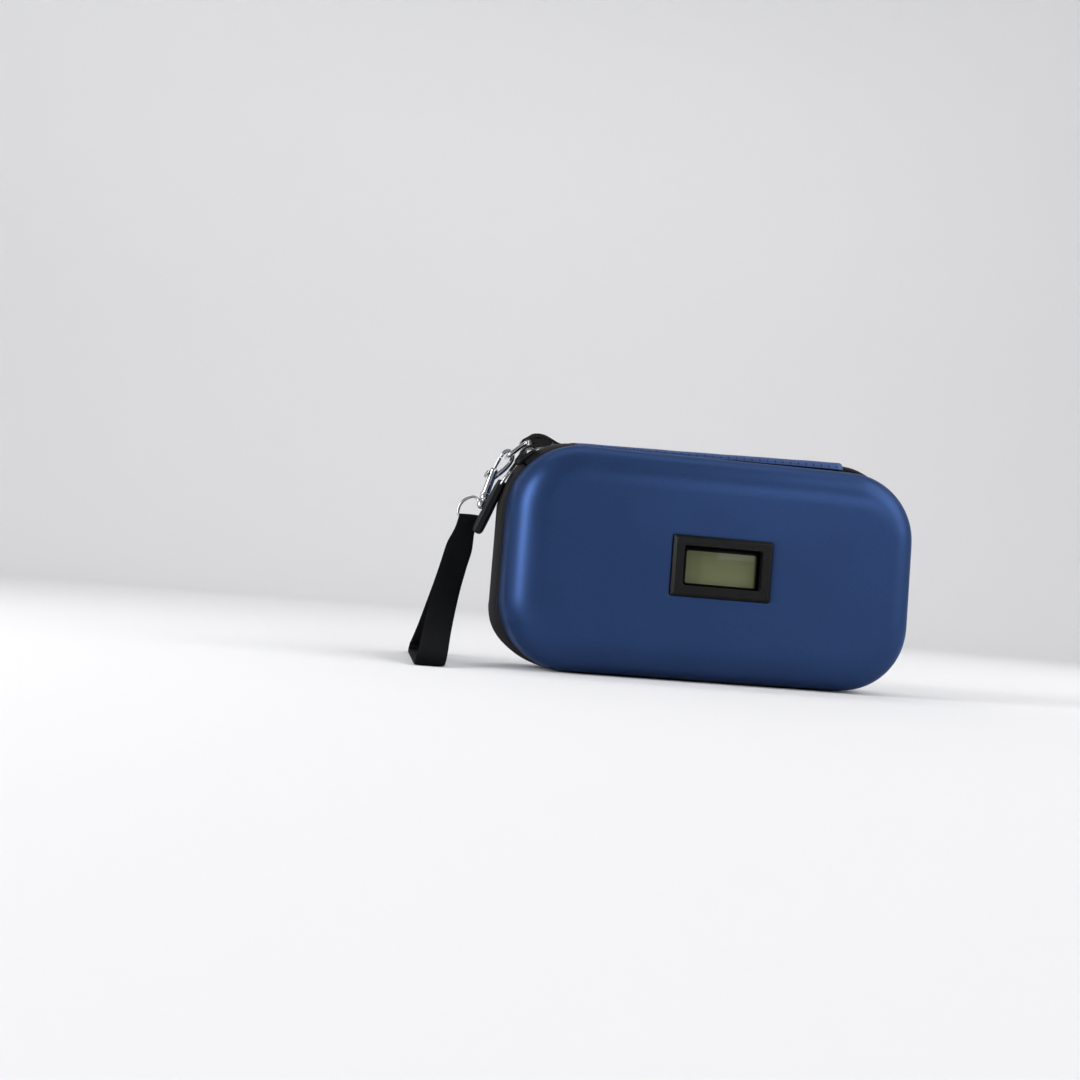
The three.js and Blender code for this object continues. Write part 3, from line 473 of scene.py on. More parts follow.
def sweep(bm, rings, closedPath=False):  # skins rows of points, with the weave's u along and v round
    count = len(rings[0])
    row = [bm.verts.new(p) for p in rings[0]]
    edges = [bm.edges.new((row[k], row[(k + 1) % count])) for k in range(count)]
    firstEdges, faces = edges, []
    place = {v: (0, k) for k, v in enumerate(row)}
    for step, ring in enumerate(rings[1:], 1):
        made = bmesh.ops.extrude_edge_only(bm, edges=edges)["geom"]
        fresh = {v for v in made if isinstance(v, bmesh.types.BMVert)}
        faces += [f for f in made if isinstance(f, bmesh.types.BMFace)]
        row = [next(e.other_vert(v) for e in v.link_edges if e.other_vert(v) in fresh) for v in row]
        for k, v in enumerate(row):
            v.co = ring[k]
            place[v] = (step, k)
        edges = [bm.edges.get((row[k], row[(k + 1) % count])) for k in range(count)]
    if closedPath:
        faces += bmesh.ops.bridge_loops(bm, edges=firstEdges + edges)["faces"]
    middles = [sum((Vector(p) for p in ring), Vector()) / count for ring in rings]
    along, around = [0.0], [0.0]
    for k in range(len(rings)):
        along.append(along[-1] + (middles[(k + 1) % len(rings)] - middles[k]).length * toMetres)
    for k in range(count):
        side = Vector(rings[0][(k + 1) % count]) - Vector(rings[0][k])
        around.append(around[-1] + side.length * toMetres)
    weave = bm.loops.layers.uv.get("weave") or bm.loops.layers.uv.new("weave")
    for face in faces:
        steps = {place[l.vert][0] for l in face.loops}
        turns = {place[l.vert][1] for l in face.loops}
        for loop in face.loops:
            step, turn = place[loop.vert]
            if step == 0 and len(rings) - 1 in steps and len(rings) > 2:
                step = len(rings)
            if turn == 0 and count - 1 in turns:
                turn = count
            loop[weave].uv = (along[step], around[turn])
    if not closedPath:
        bmesh.ops.edgeloop_fill(bm, edges=firstEdges)
        bmesh.ops.edgeloop_fill(bm, edges=edges)


def tube(bm, points, radius, closed=False, resolution=4, radii=None):  # round wire, drawn as a bevelled curve
    curve = bpy.data.curves.new("wire", "CURVE")
    curve.dimensions = "3D"
    curve.bevel_depth = radius
    curve.bevel_resolution = resolution
    curve.use_fill_caps = True
    spline = curve.splines.new("POLY")
    spline.points.add(len(points) - 1)
    for k, point in enumerate(points):
        spline.points[k].co = (*point, 1)
        spline.points[k].radius = radii[k] if radii else 1
    spline.use_cyclic_u = closed
    holder = bpy.data.objects.new("wire", curve)
    bm.from_mesh(holder.to_mesh())
    holder.to_mesh_clear()
    bpy.data.objects.remove(holder)
    bpy.data.curves.remove(curve)


def compass(degrees):  # a point of the unit circle
    turn = math.radians(degrees)
    return math.cos(turn), math.sin(turn)


def standing(line, y=0):  # points of an upright plane that runs along the case
    return [(a, y, b) for a, b in line]


def smoothRoute(points, steps, closed=False):  # a soft curve through the points
    points = [Vector(p) for p in points]
    count = len(points)
    route = []
    for k in range(count if closed else count - 1):
        a = points[k - 1] if closed or k else points[0] * 2 - points[1]
        b, c = points[k], points[(k + 1) % count]
        d = points[(k + 2) % count] if closed or k + 2 < count else c * 2 - b
        for step in range(steps):
            t = step / steps
            route.append(0.5 * (2 * b + (c - a) * t + (2 * a - 5 * b + 4 * c - d) * t * t
                                + (3 * b - a - 3 * c + d) * t * t * t))
    if not closed:
        route.append(points[-1])
    return route


def turned(profile, steps=32):  # lathe work about the local upright axis
    part = bmesh.new()
    verts = [part.verts.new((r, 0, z)) for r, z in profile]
    edges = [part.edges.new(pair) for pair in zip(verts, verts[1:])]
    bmesh.ops.spin(part, geom=verts + edges, axis=(0, 0, 1), angle=2 * math.pi, steps=steps, use_merge=True)
    bmesh.ops.remove_doubles(part, verts=part.verts, dist=1e-4)
    return part


def bandSection(line, thickness):  # closed outline of a flat band that follows a line of two-number points
    left, right = [], []
    for k, (a, b) in enumerate(line):
        before, after = line[max(k - 1, 0)], line[min(k + 1, len(line) - 1)]
        run = Vector((after[0] - before[0], after[1] - before[1])).normalized()
        left.append((a - run.y * thickness / 2, b + run.x * thickness / 2))
        right.append((a + run.y * thickness / 2, b - run.x * thickness / 2))
    return left + right[::-1]


def flatBand(bm, route, width, thickness, across=None, widths=None, closed=False, rows=7, edge=0.55,
             plies=None):
    rings = []
    count = len(route)
    for k, point in enumerate(route):
        before = route[k - 1] if closed or k else route[0]
        after = route[(k + 1) % count] if closed or k + 1 < count else route[-1]
        run = (after - before).normalized()
        side = Vector(across[k]) if across else Vector((0, 1, 0))
        side = (side - run * side.dot(run)).normalized()
        out = run.cross(side)
        wide = widths[k] if widths else width
        thick = plies[k] if plies else thickness
        ring = []
        for face in (1, -1):
            for step in range(rows):
                t = step / (rows - 1) * 2 - 1
                thin = 1 - (1 - edge) * abs(t) ** 6
                ring.append(point + side * (face * t * wide / 2) + out * (face * thin * thick / 2))
        rings.append(ring)
    sweep(bm, rings, closedPath=closed)


def smoothstep(low, high, value):
    t = min(1, max(0, (value - low) / (high - low)))
    return t * t * (3 - 2 * t)


def stitchPiece(name, spots, size, thread, body):  # a spot is a place, a run and an outward direction
    bm = bmesh.new()
    for place, run, out in spots:
        part = bmesh.new()
        bmesh.ops.create_uvsphere(part, u_segments=6, v_segments=5, radius=1)
        run, out = Vector(run).normalized(), Vector(out).normalized()
        side = out.cross(run).normalized()
        turn = Matrix((run * size[0], side * size[1], out * size[2])).transposed().to_4x4()
        absorb(bm, part, Matrix.Translation(place) @ turn)
    settle(bm, name, thread, body)


# moulded halves
lid = {"side": -1, "corner": 33.5, "depth": 30, "roundInset": 18, "roundDepth": 16}
back = {"side": 1, "corner": 31, "depth": 26, "roundInset": 16, "roundDepth": 13}
skin = {"start": (0, 0.6, 2.4), "middle": (60, 22, 10), "crown": 0.25, "ripple": 0.22,
        "shares": (0.06, 0.25, 0.5, 0.75, 0.94, 1.0)}
displayHole = {"width": 46.8, "height": 27.4, "radius": 1.2}


def trayRows(tray, offset, start, roundSteps):
    wallEnd = tray["depth"] - tray["roundDepth"]
    wallInset = (wallEnd - case["lip"]) * math.tan(math.radians(case["draft"]))
    profile = [(offset, d) for d in start if d < case["lip"]] + [(offset, case["lip"])]
    profile += [(offset + wallInset * 0.5, (wallEnd + case["lip"]) / 2)]
    for step in range(roundSteps + 1):
        turn = math.pi / 2 * step / roundSteps
        profile.append((offset + wallInset + (tray["roundInset"] - 0.8 * offset) * (1 - math.cos(turn)),
                        wallEnd + (tray["roundDepth"] - offset) * math.sin(turn)))
    return [(case["length"] - 2 * inset, case["height"] - 2 * inset, tray["corner"] - inset,
             tray["side"] * (case["zipGap"] + depth)) for inset, depth in profile]


def faceRows(last, cover, side, hole):  # loops over the barely crowned face, towards its hole or its middle
    goal = (hole["width"], hole["height"], hole["radius"]) if hole else cover["middle"]
    crown, shares = cover["crown"] * side, cover["shares"]
    return [tuple(a + (b - a) * s for a, b in zip(last[:3], goal)) + (last[3] + crown * s,) for s in shares]


def trayPiece(name, tray, hole, body, stands):
    rows = trayRows(tray, 0, skin["start"], 9)
    rows += faceRows(rows[-1], skin, tray["side"], hole)
    bm = bmesh.new()
    stackLoops(bm, rows, 12, (11, 5), fillLast=not hole)
    bmesh.ops.recalc_face_normals(bm, faces=bm.faces)
    for v in bm.verts:
        free = smoothstep(case["lip"], 14, abs(v.co.y) - case["zipGap"])
        if hole:
            reach = max(abs(v.co.x) / hole["width"], abs(v.co.z - midHeight) / hole["height"])
            free *= smoothstep(1.0, 1.5, reach * 2)
        v.co += v.normal * skin["ripple"] * free * noise.noise(v.co * 0.03 + Vector((3, 7, 1)))
    piece = settle(bm, name, shellSkin, body, stands, sharp=180)
    thicken(piece, case["wall"])
    smoothOver(piece, 2)


trayPiece("lid_skin", lid, displayHole, "lid", ["front_shell"])
trayPiece("back_skin", back, None, "back_half", ["back_shell"])
print("shells moulded")

# foil-faced foam liners
liner = {"offset": 2.9, "wall": 3.5, "start": 5.3, "hole": {"width": 53.2, "height": 28.2, "radius": 2},
         "middle": (60, 22, 8), "crown": 0.2, "dent": 0.35, "shares": (0.1, 0.3, 0.5, 0.7, 0.9, 1.0)}


def linerPiece(name, tray, hole, body, stands):
    rows = trayRows(tray, liner["offset"], (), 8)
    side, first = tray["side"], case["zipGap"] + liner["start"]
    rows[0] = rows[0][:3] + (side * first,)
    rows += faceRows(rows[-1], liner, side, hole)
    bm = bmesh.new()
    stackLoops(bm, rows, 8, (23, 9), fillLast=not hole)
    bmesh.ops.recalc_face_normals(bm, faces=bm.faces)
    for v in bm.verts:
        free = smoothstep(first + 2, first + 8, abs(v.co.y))
        v.co -= v.normal * liner["dent"] * free * (0.5 + 0.5 * noise.noise(v.co * 0.12))
    piece = settle(bm, name, foilFoam, body, stands, sharp=180)
    thicken(piece, liner["wall"] - 0.1)
    smoothOver(piece, 2)


linerPiece("lid_liner", lid, liner["hole"], "lid", ["front_liner"])
linerPiece("back_liner_foam", back, None, "back_half", ["back_liner"])
print("liners moulded")

# zip: two tapes with a raised crown, and the nylon coils under their free edges
zipLine = {"bulge": 2.4, "flat": -0.4, "fuller": 1.7, "tape": 0.7, "slit": 0.35, "crown": (-1.0, 2.3),
           "foot": [(-4.2, 8.5), (-4.2, 6.5), (-4.15, 5.0), (-3.95, 4.1), (-3.4, 3.4), (-2.55, 2.8),
                    (-1.6, 2.4)],
           "end": 67.6, "joinedEnd": 137, "looseStart": 139, "turnStep": 4, "gap": 7}
coil = {"pitch": 1.5, "depth": 0.52, "reach": 0.6, "middle": 0.72, "wire": 0.26, "perTurn": 9, "clear": 0.35}


def zipStations(first, last):  # places on the parting line, each with its outward direction and bulge
    raw = []
    for corner, (sideX, sideZ) in enumerate(((-1, 1), (-1, -1), (1, -1), (1, 1))):
        low, high = max(first, 90 + 90 * corner), min(last, 180 + 90 * corner)
        if high <= low:
            continue
        middle = Vector((sideX * cornerX, 0, midHeight + sideZ * cornerZ))
        count = math.ceil((high - low) / zipLine["turnStep"])
        for k in range(count + 1):
            degrees = low + (high - low) * k / count
            x, z = compass(degrees)
            out = Vector((x, 0, z))
            lower = {1: (degrees - 180) / 90, 2: (360 - degrees) / 90}.get(corner, 0)
            bulge = zipLine["bulge"] + (zipLine["flat"] - zipLine["bulge"]) * smoothstep(0.2, 0.9, lower)
            bulge += zipLine["fuller"] * smoothstep(166, 184, degrees) * (1 - smoothstep(192, 230, degrees))
            raw.append((middle + out * case["corner"], out, bulge))
    if first == 90:
        raw.insert(0, (Vector((-zipLine["end"], 0, case["height"])), *raw[0][1:]))
    if last == 450:
        raw.append((Vector((zipLine["end"], 0, case["height"])), *raw[-1][1:]))
    stations = [raw[0]]
    for before, after in zip(raw, raw[1:]):
        count = max(1, math.ceil((after[0] - before[0]).length / zipLine["gap"]))
        for k in range(1, count + 1):
            t = k / count
            stations.append((before[0].lerp(after[0], t), before[1].lerp(after[1], t).normalized(),
                             before[2] + (after[2] - before[2]) * t))
    return stations


def tapeLine(bulge, margin):
    (low, wide), slit = zipLine["crown"], zipLine["slit"]
    rise = bulge - low - zipLine["tape"] / 2
    crown = [(low + rise * b, slit + (wide - slit) * a) for a, b in map(compass, (8, 24, 40, 56, 72, 90))]
    return (zipLine["foot"] if margin else zipLine["foot"][5:]) + crown


def tapePiece(name, stations, side, margin, body, stands):
    rings = []
    for place, out, bulge in stations:
        section = bandSection(tapeLine(bulge, margin), zipLine["tape"])
        rings.append([place + out * a + Vector((0, side * b, 0)) for a, b in section])
    bm = bmesh.new()
    sweep(bm, rings)
    settle(bm, name, zipCloth, body, stands, sharp=50)


def coilPiece(name, stations, side, body, stands, phase):
    lengths = [0.0]
    for before, after in zip(stations, stations[1:]):
        lengths.append(lengths[-1] + (after[0] - before[0]).length)
    points, index = [], 0
    total = int(lengths[-1] / coil["pitch"] * coil["perTurn"])
    for k in range(total):
        distance = k * coil["pitch"] / coil["perTurn"]
        while lengths[index + 1] < distance:
            index += 1
        t = (distance - lengths[index]) / (lengths[index + 1] - lengths[index])
        place = stations[index][0].lerp(stations[index + 1][0], t)
        out = stations[index][1].lerp(stations[index + 1][1], t).normalized()
        bulge = stations[index][2] + (stations[index + 1][2] - stations[index][2]) * t
        turn = 2 * math.pi * (k / coil["perTurn"] + phase)
        depth = bulge - zipLine["tape"] - coil["clear"] - coil["depth"]
        points.append(place + out * (depth + coil["depth"] * math.cos(turn))
                      + Vector((0, side * (coil["middle"] + coil["reach"] * math.sin(turn)), 0)))
    bm = bmesh.new()
    tube(bm, points, coil["wire"], resolution=0)
    settle(bm, name, coilNylon, body, stands, sharp=80, recalc=False)


wholeZip = zipStations(90, 450)
looseZip = zipStations(zipLine["looseStart"], 450)
joinedZip = zipStations(90, zipLine["joinedEnd"])
tapePiece("back_tape", wholeZip, 1, True, "back_half", ["back_zip_tape"])
tapePiece("lid_tape", looseZip, -1, True, "lid", ["front_zip_tape"])
tapePiece("joined_tape", joinedZip, -1, False, "back_half", ["joined_zip_tape"])
coilPiece("back_coil", wholeZip, 1, "back_half", ["back_zip_coil"], 0)
coilPiece("lid_coil", looseZip, -1, "lid", ["front_zip_coil"], 0.5)
coilPiece("joined_coil", joinedZip, -1, "back_half", ["joined_zip_coil"], 0.5)


zipTail = {"width": 4.6, "narrowing": 0.6, "ply": 2.5, "thinning": (72, 84), "y": 0.9}


def zipEnd(name, line, stands):  # folded tape end over the stop
    route = smoothRoute(standing(line, zipTail["y"]), 4)
    widths = [zipTail["width"] - zipTail["narrowing"] * (k / len(route)) ** 2 for k in range(len(route))]
    plies = [zipTail["ply"] - smoothstep(*zipTail["thinning"], abs(p.x)) for p in route]
    bm = bmesh.new()
    flatBand(bm, route, zipTail["width"], zipTail["ply"], widths=widths, edge=0.4, plies=plies)
    settle(bm, name, zipCloth, "back_half", stands, sharp=60)


zipEnd("zip_end_left", [(-65.4, 109.2), (-66.6, 109.6), (-68, 109.65), (-69.5, 109.5), (-71, 109.1),
                        (-72.3, 108.3)], ["zip_stop_left"])
zipEnd("zip_end_right", [(67, 111.7), (69, 111.7), (72, 111.4), (75, 111.0), (78, 110.3), (81, 109.3),
                         (84.5, 107.6), (87.5, 105.5)], ["zip_stop_right"])
print("zip sewn in")

# hinge strip: the skin sewn over the top seam, between the two halves
strip = {"half": 69.2, "halfWidth": 8, "bottom": 108.15, "lift": 0.5, "riseLeft": 2.3, "riseRight": 5.4,
         "side": 8.3, "round": 6, "endRoll": 2.5, "thick": 1.4, "stitch": 4, "seam": 7.2,
         "stitchSize": (1.45, 0.28, 0.26), "waviness": 0.14, "pucker": 0.1}


def stripHeight(x, y):  # the padding under the skin thins out towards the left
    share = (x + strip["half"]) / (2 * strip["half"])
    rise = strip["riseLeft"] + (strip["riseRight"] - strip["riseLeft"]) * share
    over = max(0, abs(x) - (strip["half"] - strip["endRoll"])) / strip["endRoll"]
    bottom = strip["bottom"] + strip["lift"] * smoothstep(0.3, 1, share)
    return bottom + rise * (1 - min(1, abs(y) / strip["side"]) ** 5) * math.sqrt(max(0, 1 - over ** 3))


def stripPiece():
    bm = bmesh.new()
    bmesh.ops.create_grid(bm, x_segments=134, y_segments=24, size=1, calc_uvs=False)
    bmesh.ops.scale(bm, vec=(strip["half"], strip["halfWidth"], 1), verts=bm.verts)
    weave = bm.loops.layers.uv.new("weave")
    for face in bm.faces:
        for loop in face.loops:
            loop[weave].uv = loop.vert.co.xy * toMetres
    for v in bm.verts:
        over = max(0, abs(v.co.x) - (strip["half"] - strip["round"])) / strip["round"]
        narrow = 0.5 + 0.5 * math.sqrt(max(0, 1 - over ** 2.4))
        lift = strip["waviness"] * noise.noise(Vector((v.co.x * 0.09, v.co.y * 0.2, 4)))
        pull = math.cos(2 * math.pi * v.co.x / strip["stitch"])
        pucker = strip["pucker"] * pull * smoothstep(5.4, 7.4, abs(v.co.y))
        v.co = Vector((v.co.x, v.co.y * narrow, stripHeight(v.co.x, v.co.y) + lift + pucker))
    piece = settle(bm, "hinge_strip", hingeSkin, None,
                   ["hinge_strip_back", "hinge_strip_front"], sharp=180)
    thicken(piece, strip["thick"], even=False)
    smoothOver(piece, 1)
    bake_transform(piece)


def stripStitches(name, side, body):
    spots = []
    seam = strip["seam"]
    count = int(2 * (strip["half"] - 7.5) / strip["stitch"])
    for k in range(count):
        x = (k - (count - 1) / 2) * strip["stitch"]
        slope = (stripHeight(x, seam + 0.1) - stripHeight(x, seam - 0.1)) / 0.2
        spots.append(((x, side * seam, stripHeight(x, seam) - 0.02), (1, 0, 0), (0, -side * slope, 1)))
    stitchPiece(name, spots, strip["stitchSize"], blueThread, body)


stripPiece()
stripStitches("strip_stitches_lid", -1, "lid")
stripStitches("strip_stitches_back", 1, "back_half")
print("hinge strip sewn on")

# display module in the lid
bezel = {"front": -36.2, "back": -34.3, "view": -32.2, "rear": -19.5, "raised": 0.3,
         "opening": (37.8, 18.6, 1.5), "flange": (48.0, 28.6, 0.8), "housing": (46.2, 26.8, 0.8),
         "cavity": (43.8, 24.4, 0.6), "panel": (41, 0.5, 20), "rim": (38.2, 19.0, 1.7),
         "face": (45.2, 25.8, 0.5), "slope": (47.8, 28.4, 0.7)}


def bezelPiece():
    front, backY, view, rear, raised = (bezel[key] for key in ("front", "back", "view", "rear", "raised"))
    opening, flange, housing, cavity = (bezel[key] for key in ("opening", "flange", "housing", "cavity"))
    rows = [
        (*opening, front + 0.9, raised), (*opening, front + 0.2, raised), (*bezel["rim"], front, raised),
        (*bezel["face"], front + 0.03), (*bezel["slope"], front + 1.35), (*flange, front + 1.5),
        (*flange, backY), (*housing, backY + 0.03), (*housing, rear),
        (*cavity, rear - 0.03), (*cavity, view + 0.03), (*opening, view, raised),
    ]
    bm = bmesh.new()
    stackLoops(bm, rows, 4, (1, 1), closed=True)
    piece = settle(bm, "display_bezel", framePlastic, "lid", ["display_frame"], sharp=32)
    easeEdges(piece, 0.18)


def lcdPiece():
    bm = block(bezel["panel"], 0.12)
    bmesh.ops.translate(bm, vec=(0, bezel["view"] + 0.3, midHeight), verts=bm.verts)
    settle(bm, "display_panel", lcdGlass, "lid", ["display_glass"])


bezelPiece()
lcdPiece()
looks = {"contact_strip": contactRubber, "circuit_board": boardMask, "button_cell_left": cellSteel,
         "button_cell_right": cellSteel, "rear_cover": framePlastic, "battery_door": framePlastic,
         "clip_left": framePlastic, "clip_right": framePlastic, "sensor_cap": cellSteel,
         "gate_pin": brightSteel, "gate_spring": cellSteel}
for name, finish in looks.items():  # CAD nodes whose shape is right keep it, with eased edges
    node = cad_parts[name]
    node.data.materials.clear()
    node.data.materials.append(finish.material)
    easeEdges(node, 0.15, weld=True)


screw = {"x": 19, "y": -19.85, "z": 9.2,
         "profile": [(0, 0.1), (0.5, 0.12), (0.55, 0.45), (1.1, 0.4), (1.45, 0.05), (1.45, -0.4), (0, -0.4)]}
doorRib = {"size": (7, 0.7, 0.7), "first": (-4, -19.5, 50.9), "pitch": 1.5, "count": 4}


def coverScrews():
    bm = bmesh.new()
    turn = Matrix.Rotation(-math.pi / 2, 4, "X")
    for sideX in (-1, 1):
        for sideZ in (-1, 1):
            place = Matrix.Translation((sideX * screw["x"], screw["y"], midHeight + sideZ * screw["z"]))
            absorb(bm, turned(screw["profile"], 20), place @ turn)
    settle(bm, "cover_screws", cellSteel, "lid")


def doorGrip():
    bm = bmesh.new()
    x, y, z = doorRib["first"]
    for k in range(doorRib["count"]):
        absorb(bm, block(doorRib["size"], 0.2), Matrix.Translation((x, y, z + doorRib["pitch"] * k)))
    settle(bm, "door_grip", framePlastic, "battery_door")


coverScrews()
doorGrip()
print("display fitted")

# strap set: tab, ring, hook, gate, swivel
strapY = 11
tabFold = Vector((-91.3, strapY, 109.6))
ringFar = Vector((-99.6, strapY, 102.2))
hookUp = math.radians(66.5)
hookAxes = Matrix(((math.sin(hookUp), 0, math.cos(hookUp)), (0, 1, 0),
                   (-math.cos(hookUp), 0, math.sin(hookUp)))).to_4x4()
hookPlace = Matrix.Translation(ringFar) @ hookAxes
tab = {"width": 8.8, "ply": 2.2, "sewnPly": 1.2, "wrap": 1.75, "padding": 2.6, "sewnFrom": (-83, -77),
       "foldTo": (-91.5, -88), "stitchSize": (0.55, 0.2, 0.18),
       "sideRow": {"x": -69.4, "z": 110.5, "step": 1.25, "rise": 0.05, "half": 3.3, "count": 6},
       "endRow": {"start": -2.5, "step": 1.65, "count": 4, "places": ((-69.2, 110.5), (-76.0, 110.9))},
       "over": [(-68.5, 109.9), (-72, 110.1), (-75.5, 110.8), (-78.5, 112.1), (-81.5, 113.2), (-84.5, 113.8),
                (-87.4, 113.6), (-89.8, 112.5)],
       "under": [(-89.8, 107.8), (-88.0, 108.1), (-85.5, 108.9), (-82.5, 109.4), (-79.5, 109.2), (-76, 108.9),
                 (-72, 108.65), (-68.5, 108.6)],
       "core": [(-88.7, 110.4), (-86.5, 111.0), (-84, 111.4), (-81, 111.2), (-78.5, 110.6)]}


def tabPiece():
    x, y, z = tabFold
    fold = [compass(degrees) for degrees in (120, 150, 180, 210, 240)]
    line = tab["over"] + [(x + tab["wrap"] * a, z + tab["wrap"] * b) for a, b in fold] + tab["under"]
    route = smoothRoute(standing(line, y), 5)
    plies = []
    for p in route:
        loose = (1 - smoothstep(*tab["sewnFrom"], p.x)) * smoothstep(*tab["foldTo"], p.x)
        plies.append(tab["sewnPly"] + (tab["ply"] - tab["sewnPly"]) * loose)
    bm = bmesh.new()
    flatBand(bm, route, tab["width"], tab["ply"], edge=0.85, plies=plies)
    flatBand(bm, smoothRoute(standing(tab["core"], y), 4), tab["width"] - 0.6, tab["padding"], edge=0.85)
    settle(bm, "ring_tab_webbing", tabWeb, "back_half", ["ring_tab"], sharp=60)
    spots = []
    row = tab["sideRow"]
    for k in range(row["count"]):
        x, z = row["x"] - row["step"] * k, row["z"] + row["rise"] * k
        spots += [((x, y + edge * row["half"], z), (1, 0, -row["rise"]), (0, 0, 1)) for edge in (-1, 1)]
    row = tab["endRow"]
    for k in range(row["count"]):
        across = y + row["start"] + row["step"] * k
        spots += [((x, across, z), (0, 1, 0), (0, 0, 1)) for x, z in row["places"]]
    stitchPiece("ring_tab_stitches", spots, tab["stitchSize"], blackThread, "back_half")


def frameRoute(first, second, half, bend):  # rounded wire frame round two bars that run across the case
    corners = [first + Vector((0, -half, 0)), first + Vector((0, half, 0)),
               second + Vector((0, half, 0)), second + Vector((0, -half, 0))]
    route = []
    for k, corner in enumerate(corners):
        start = corner + (corners[k - 1] - corner).normalized() * bend
        end = corner + (corners[(k + 1) % 4] - corner).normalized() * bend
        for step in range(7):
            t = step / 6
            route.append(start.lerp(corner, t).lerp(corner.lerp(end, t), t))
    return route


ring = {"half": 5.8, "bend": 2.2, "wire": 1.05}


def ringPiece():
    bm = bmesh.new()
    route = frameRoute(tabFold, ringFar, ring["half"], ring["bend"])
    tube(bm, route, ring["wire"], closed=True, resolution=5)
    settle(bm, "tab_ring_wire", brightSteel, "ring", ["tab_ring"])


hook = {"claw": 1.08, "barrelTop": (-2.7, -8.0), "barrelFoot": (-0.7, -22.0), "barrel": 2.05,
        "line": [(-2.8, -1.6), (-2.7, -0.4), (-2.35, 1.2), (-1.6, 2.45), (-0.5, 3.1), (0.7, 3.0), (1.8, 2.2),
                 (2.5, 0.8), (2.75, -0.9), (2.5, -3.2), (1.7, -6.2), (0.4, -9.3), (-0.9, -12.0),
                 (-1.6, -13.8)]}


def hookPiece():
    bm = bmesh.new()
    route = smoothRoute(standing(hook["line"]), 4)
    shares = [k / len(route) for k in range(len(route))]
    radii = [0.8 + 0.2 * smoothstep(0, 0.3, t) + 0.25 * smoothstep(0.6, 1, t) for t in shares]
    tube(bm, route, hook["claw"], resolution=6, radii=radii)
    r = hook["barrel"]
    foot, top = (Vector((a, 0, b)) for a, b in (hook["barrelFoot"], hook["barrelTop"]))
    length = (top - foot).length
    collar = [(0, -0.4), (r + 0.3, -0.4), (r + 0.6, -0.1), (r + 0.6, 0.6), (r + 0.25, 0.95), (r - 0.1, 1.1)]
    body = [(r - 0.05, 1.6), (r, 2.0), (r - 0.05, length - 1.4), (r - 0.2, length - 0.5),
            (r - 0.7, length - 0.05), (0, length)]
    lean = Matrix.Rotation(math.atan2(top.x - foot.x, top.z - foot.z), 4, "Y")
    absorb(bm, turned(collar + body, 36), Matrix.Translation(foot) @ lean)
    bmesh.ops.transform(bm, matrix=hookPlace, verts=bm.verts)
    settle(bm, "hook_claw", brightSteel, "hook", ["hook_body"])


gate = {"bolt": 0.9, "knob": 2.0, "knobPlace": (-2.6, 0, -12.5), "knobTurn": -86,
        "line": [(-2.85, -2.2), (-2.9, -5.2), (-2.85, -8.2), (-2.5, -12.2), (-1.7, -16.3)]}


def gatePiece():
    bm = bmesh.new()
    tube(bm, smoothRoute(standing(gate["line"]), 4), gate["bolt"], resolution=5)
    r = gate["knob"]
    knob = turned([(0, 0), (0.6, 0), (0.55, 1.5), (0.7, 1.7), (r, 1.85), (r + 0.15, 2.2), (r + 0.05, 2.75),
                   (r - 0.5, 3.15), (0, 3.3)], 28)
    turn = Matrix.Rotation(math.radians(gate["knobTurn"]), 4, "Y")
    absorb(bm, knob, Matrix.Translation(gate["knobPlace"]) @ turn)
    bmesh.ops.transform(bm, matrix=hookPlace, verts=bm.verts)
    settle(bm, "hook_gate_lever", brightSteel, "gate", ["hook_gate"])


eyeBar = {"left": -121.6, "right": -109.8, "z": 70, "wire": 0.72, "lug": (-111.6, strapY, 79.3),
          "stem": [(0, -29.5), (1.2, -29.2), (2.0, -28.4), (2.3, -27.2), (2.05, -26.0), (1.5, -25.3),
                   (1.3, -24.9), (1.4, -24.6), (2.5, -24.4), (2.85, -23.9), (2.8, -23.2), (2.1, -22.8),
                   (1.2, -22.7), (1.0, -21.5), (0, -21.4)]}


def swivelPiece():
    bm = bmesh.new()
    absorb(bm, turned(eyeBar["stem"], 36), hookPlace)
    left, right, z = eyeBar["left"], eyeBar["right"], eyeBar["z"]
    line = [(-110.8, 78.4), (-112.8, 80.3), (-115.0, 80.9), (-118.7, 79.1), (-120.9, 76.2), (left, 73),
            (left + 0.7, 70.8), (left + 2.4, z), (-116.5, z), (right - 2.4, z), (right - 0.6, 70.6),
            (right, 72.4), (-110.1, 76.2)]
    tube(bm, smoothRoute(standing(line, strapY), 6), eyeBar["wire"])
    lug = bmesh.new()
    bmesh.ops.create_uvsphere(lug, u_segments=16, v_segments=10, radius=1.0)
    absorb(bm, lug, Matrix.Translation(eyeBar["lug"]) @ Matrix.Diagonal((1.3, 1.1, 1.1, 1)))
    settle(bm, "swivel_ring", brightSteel, "swivel", ["swivel_eye"])


tabPiece()
ringPiece()
hookPiece()
gatePiece()
swivelPiece()
print("hook set made")

# wrist strap: one webbing loop, folded over the eye and sewn to itself
strap = {"width": 13, "fold": 9.6, "thick": 1.2, "slope": 0.228, "topX": -116.2, "footX": -132.2,
         "leanFrom": (8, 40), "leanTo": (60, 68), "narrowing": (54, 66),
         "sewn": (64, 58, 52, 47), "floorRun": (-50, -40, -30, -20, -10, 0, 10, 20, 30, 40, 46),
         "frontFall": [(-4.5, 37), (-15, 27), (-31, 16.5), (-46, 9.5), (-54.5, 5.6), (-56.5, 3), (-54.5, 1)],
         "backRise": [(51.5, 1.2), (54, 3.4), (51.5, 6), (42, 9.6), (28, 16.5), (14.5, 27), (4.5, 37)]}


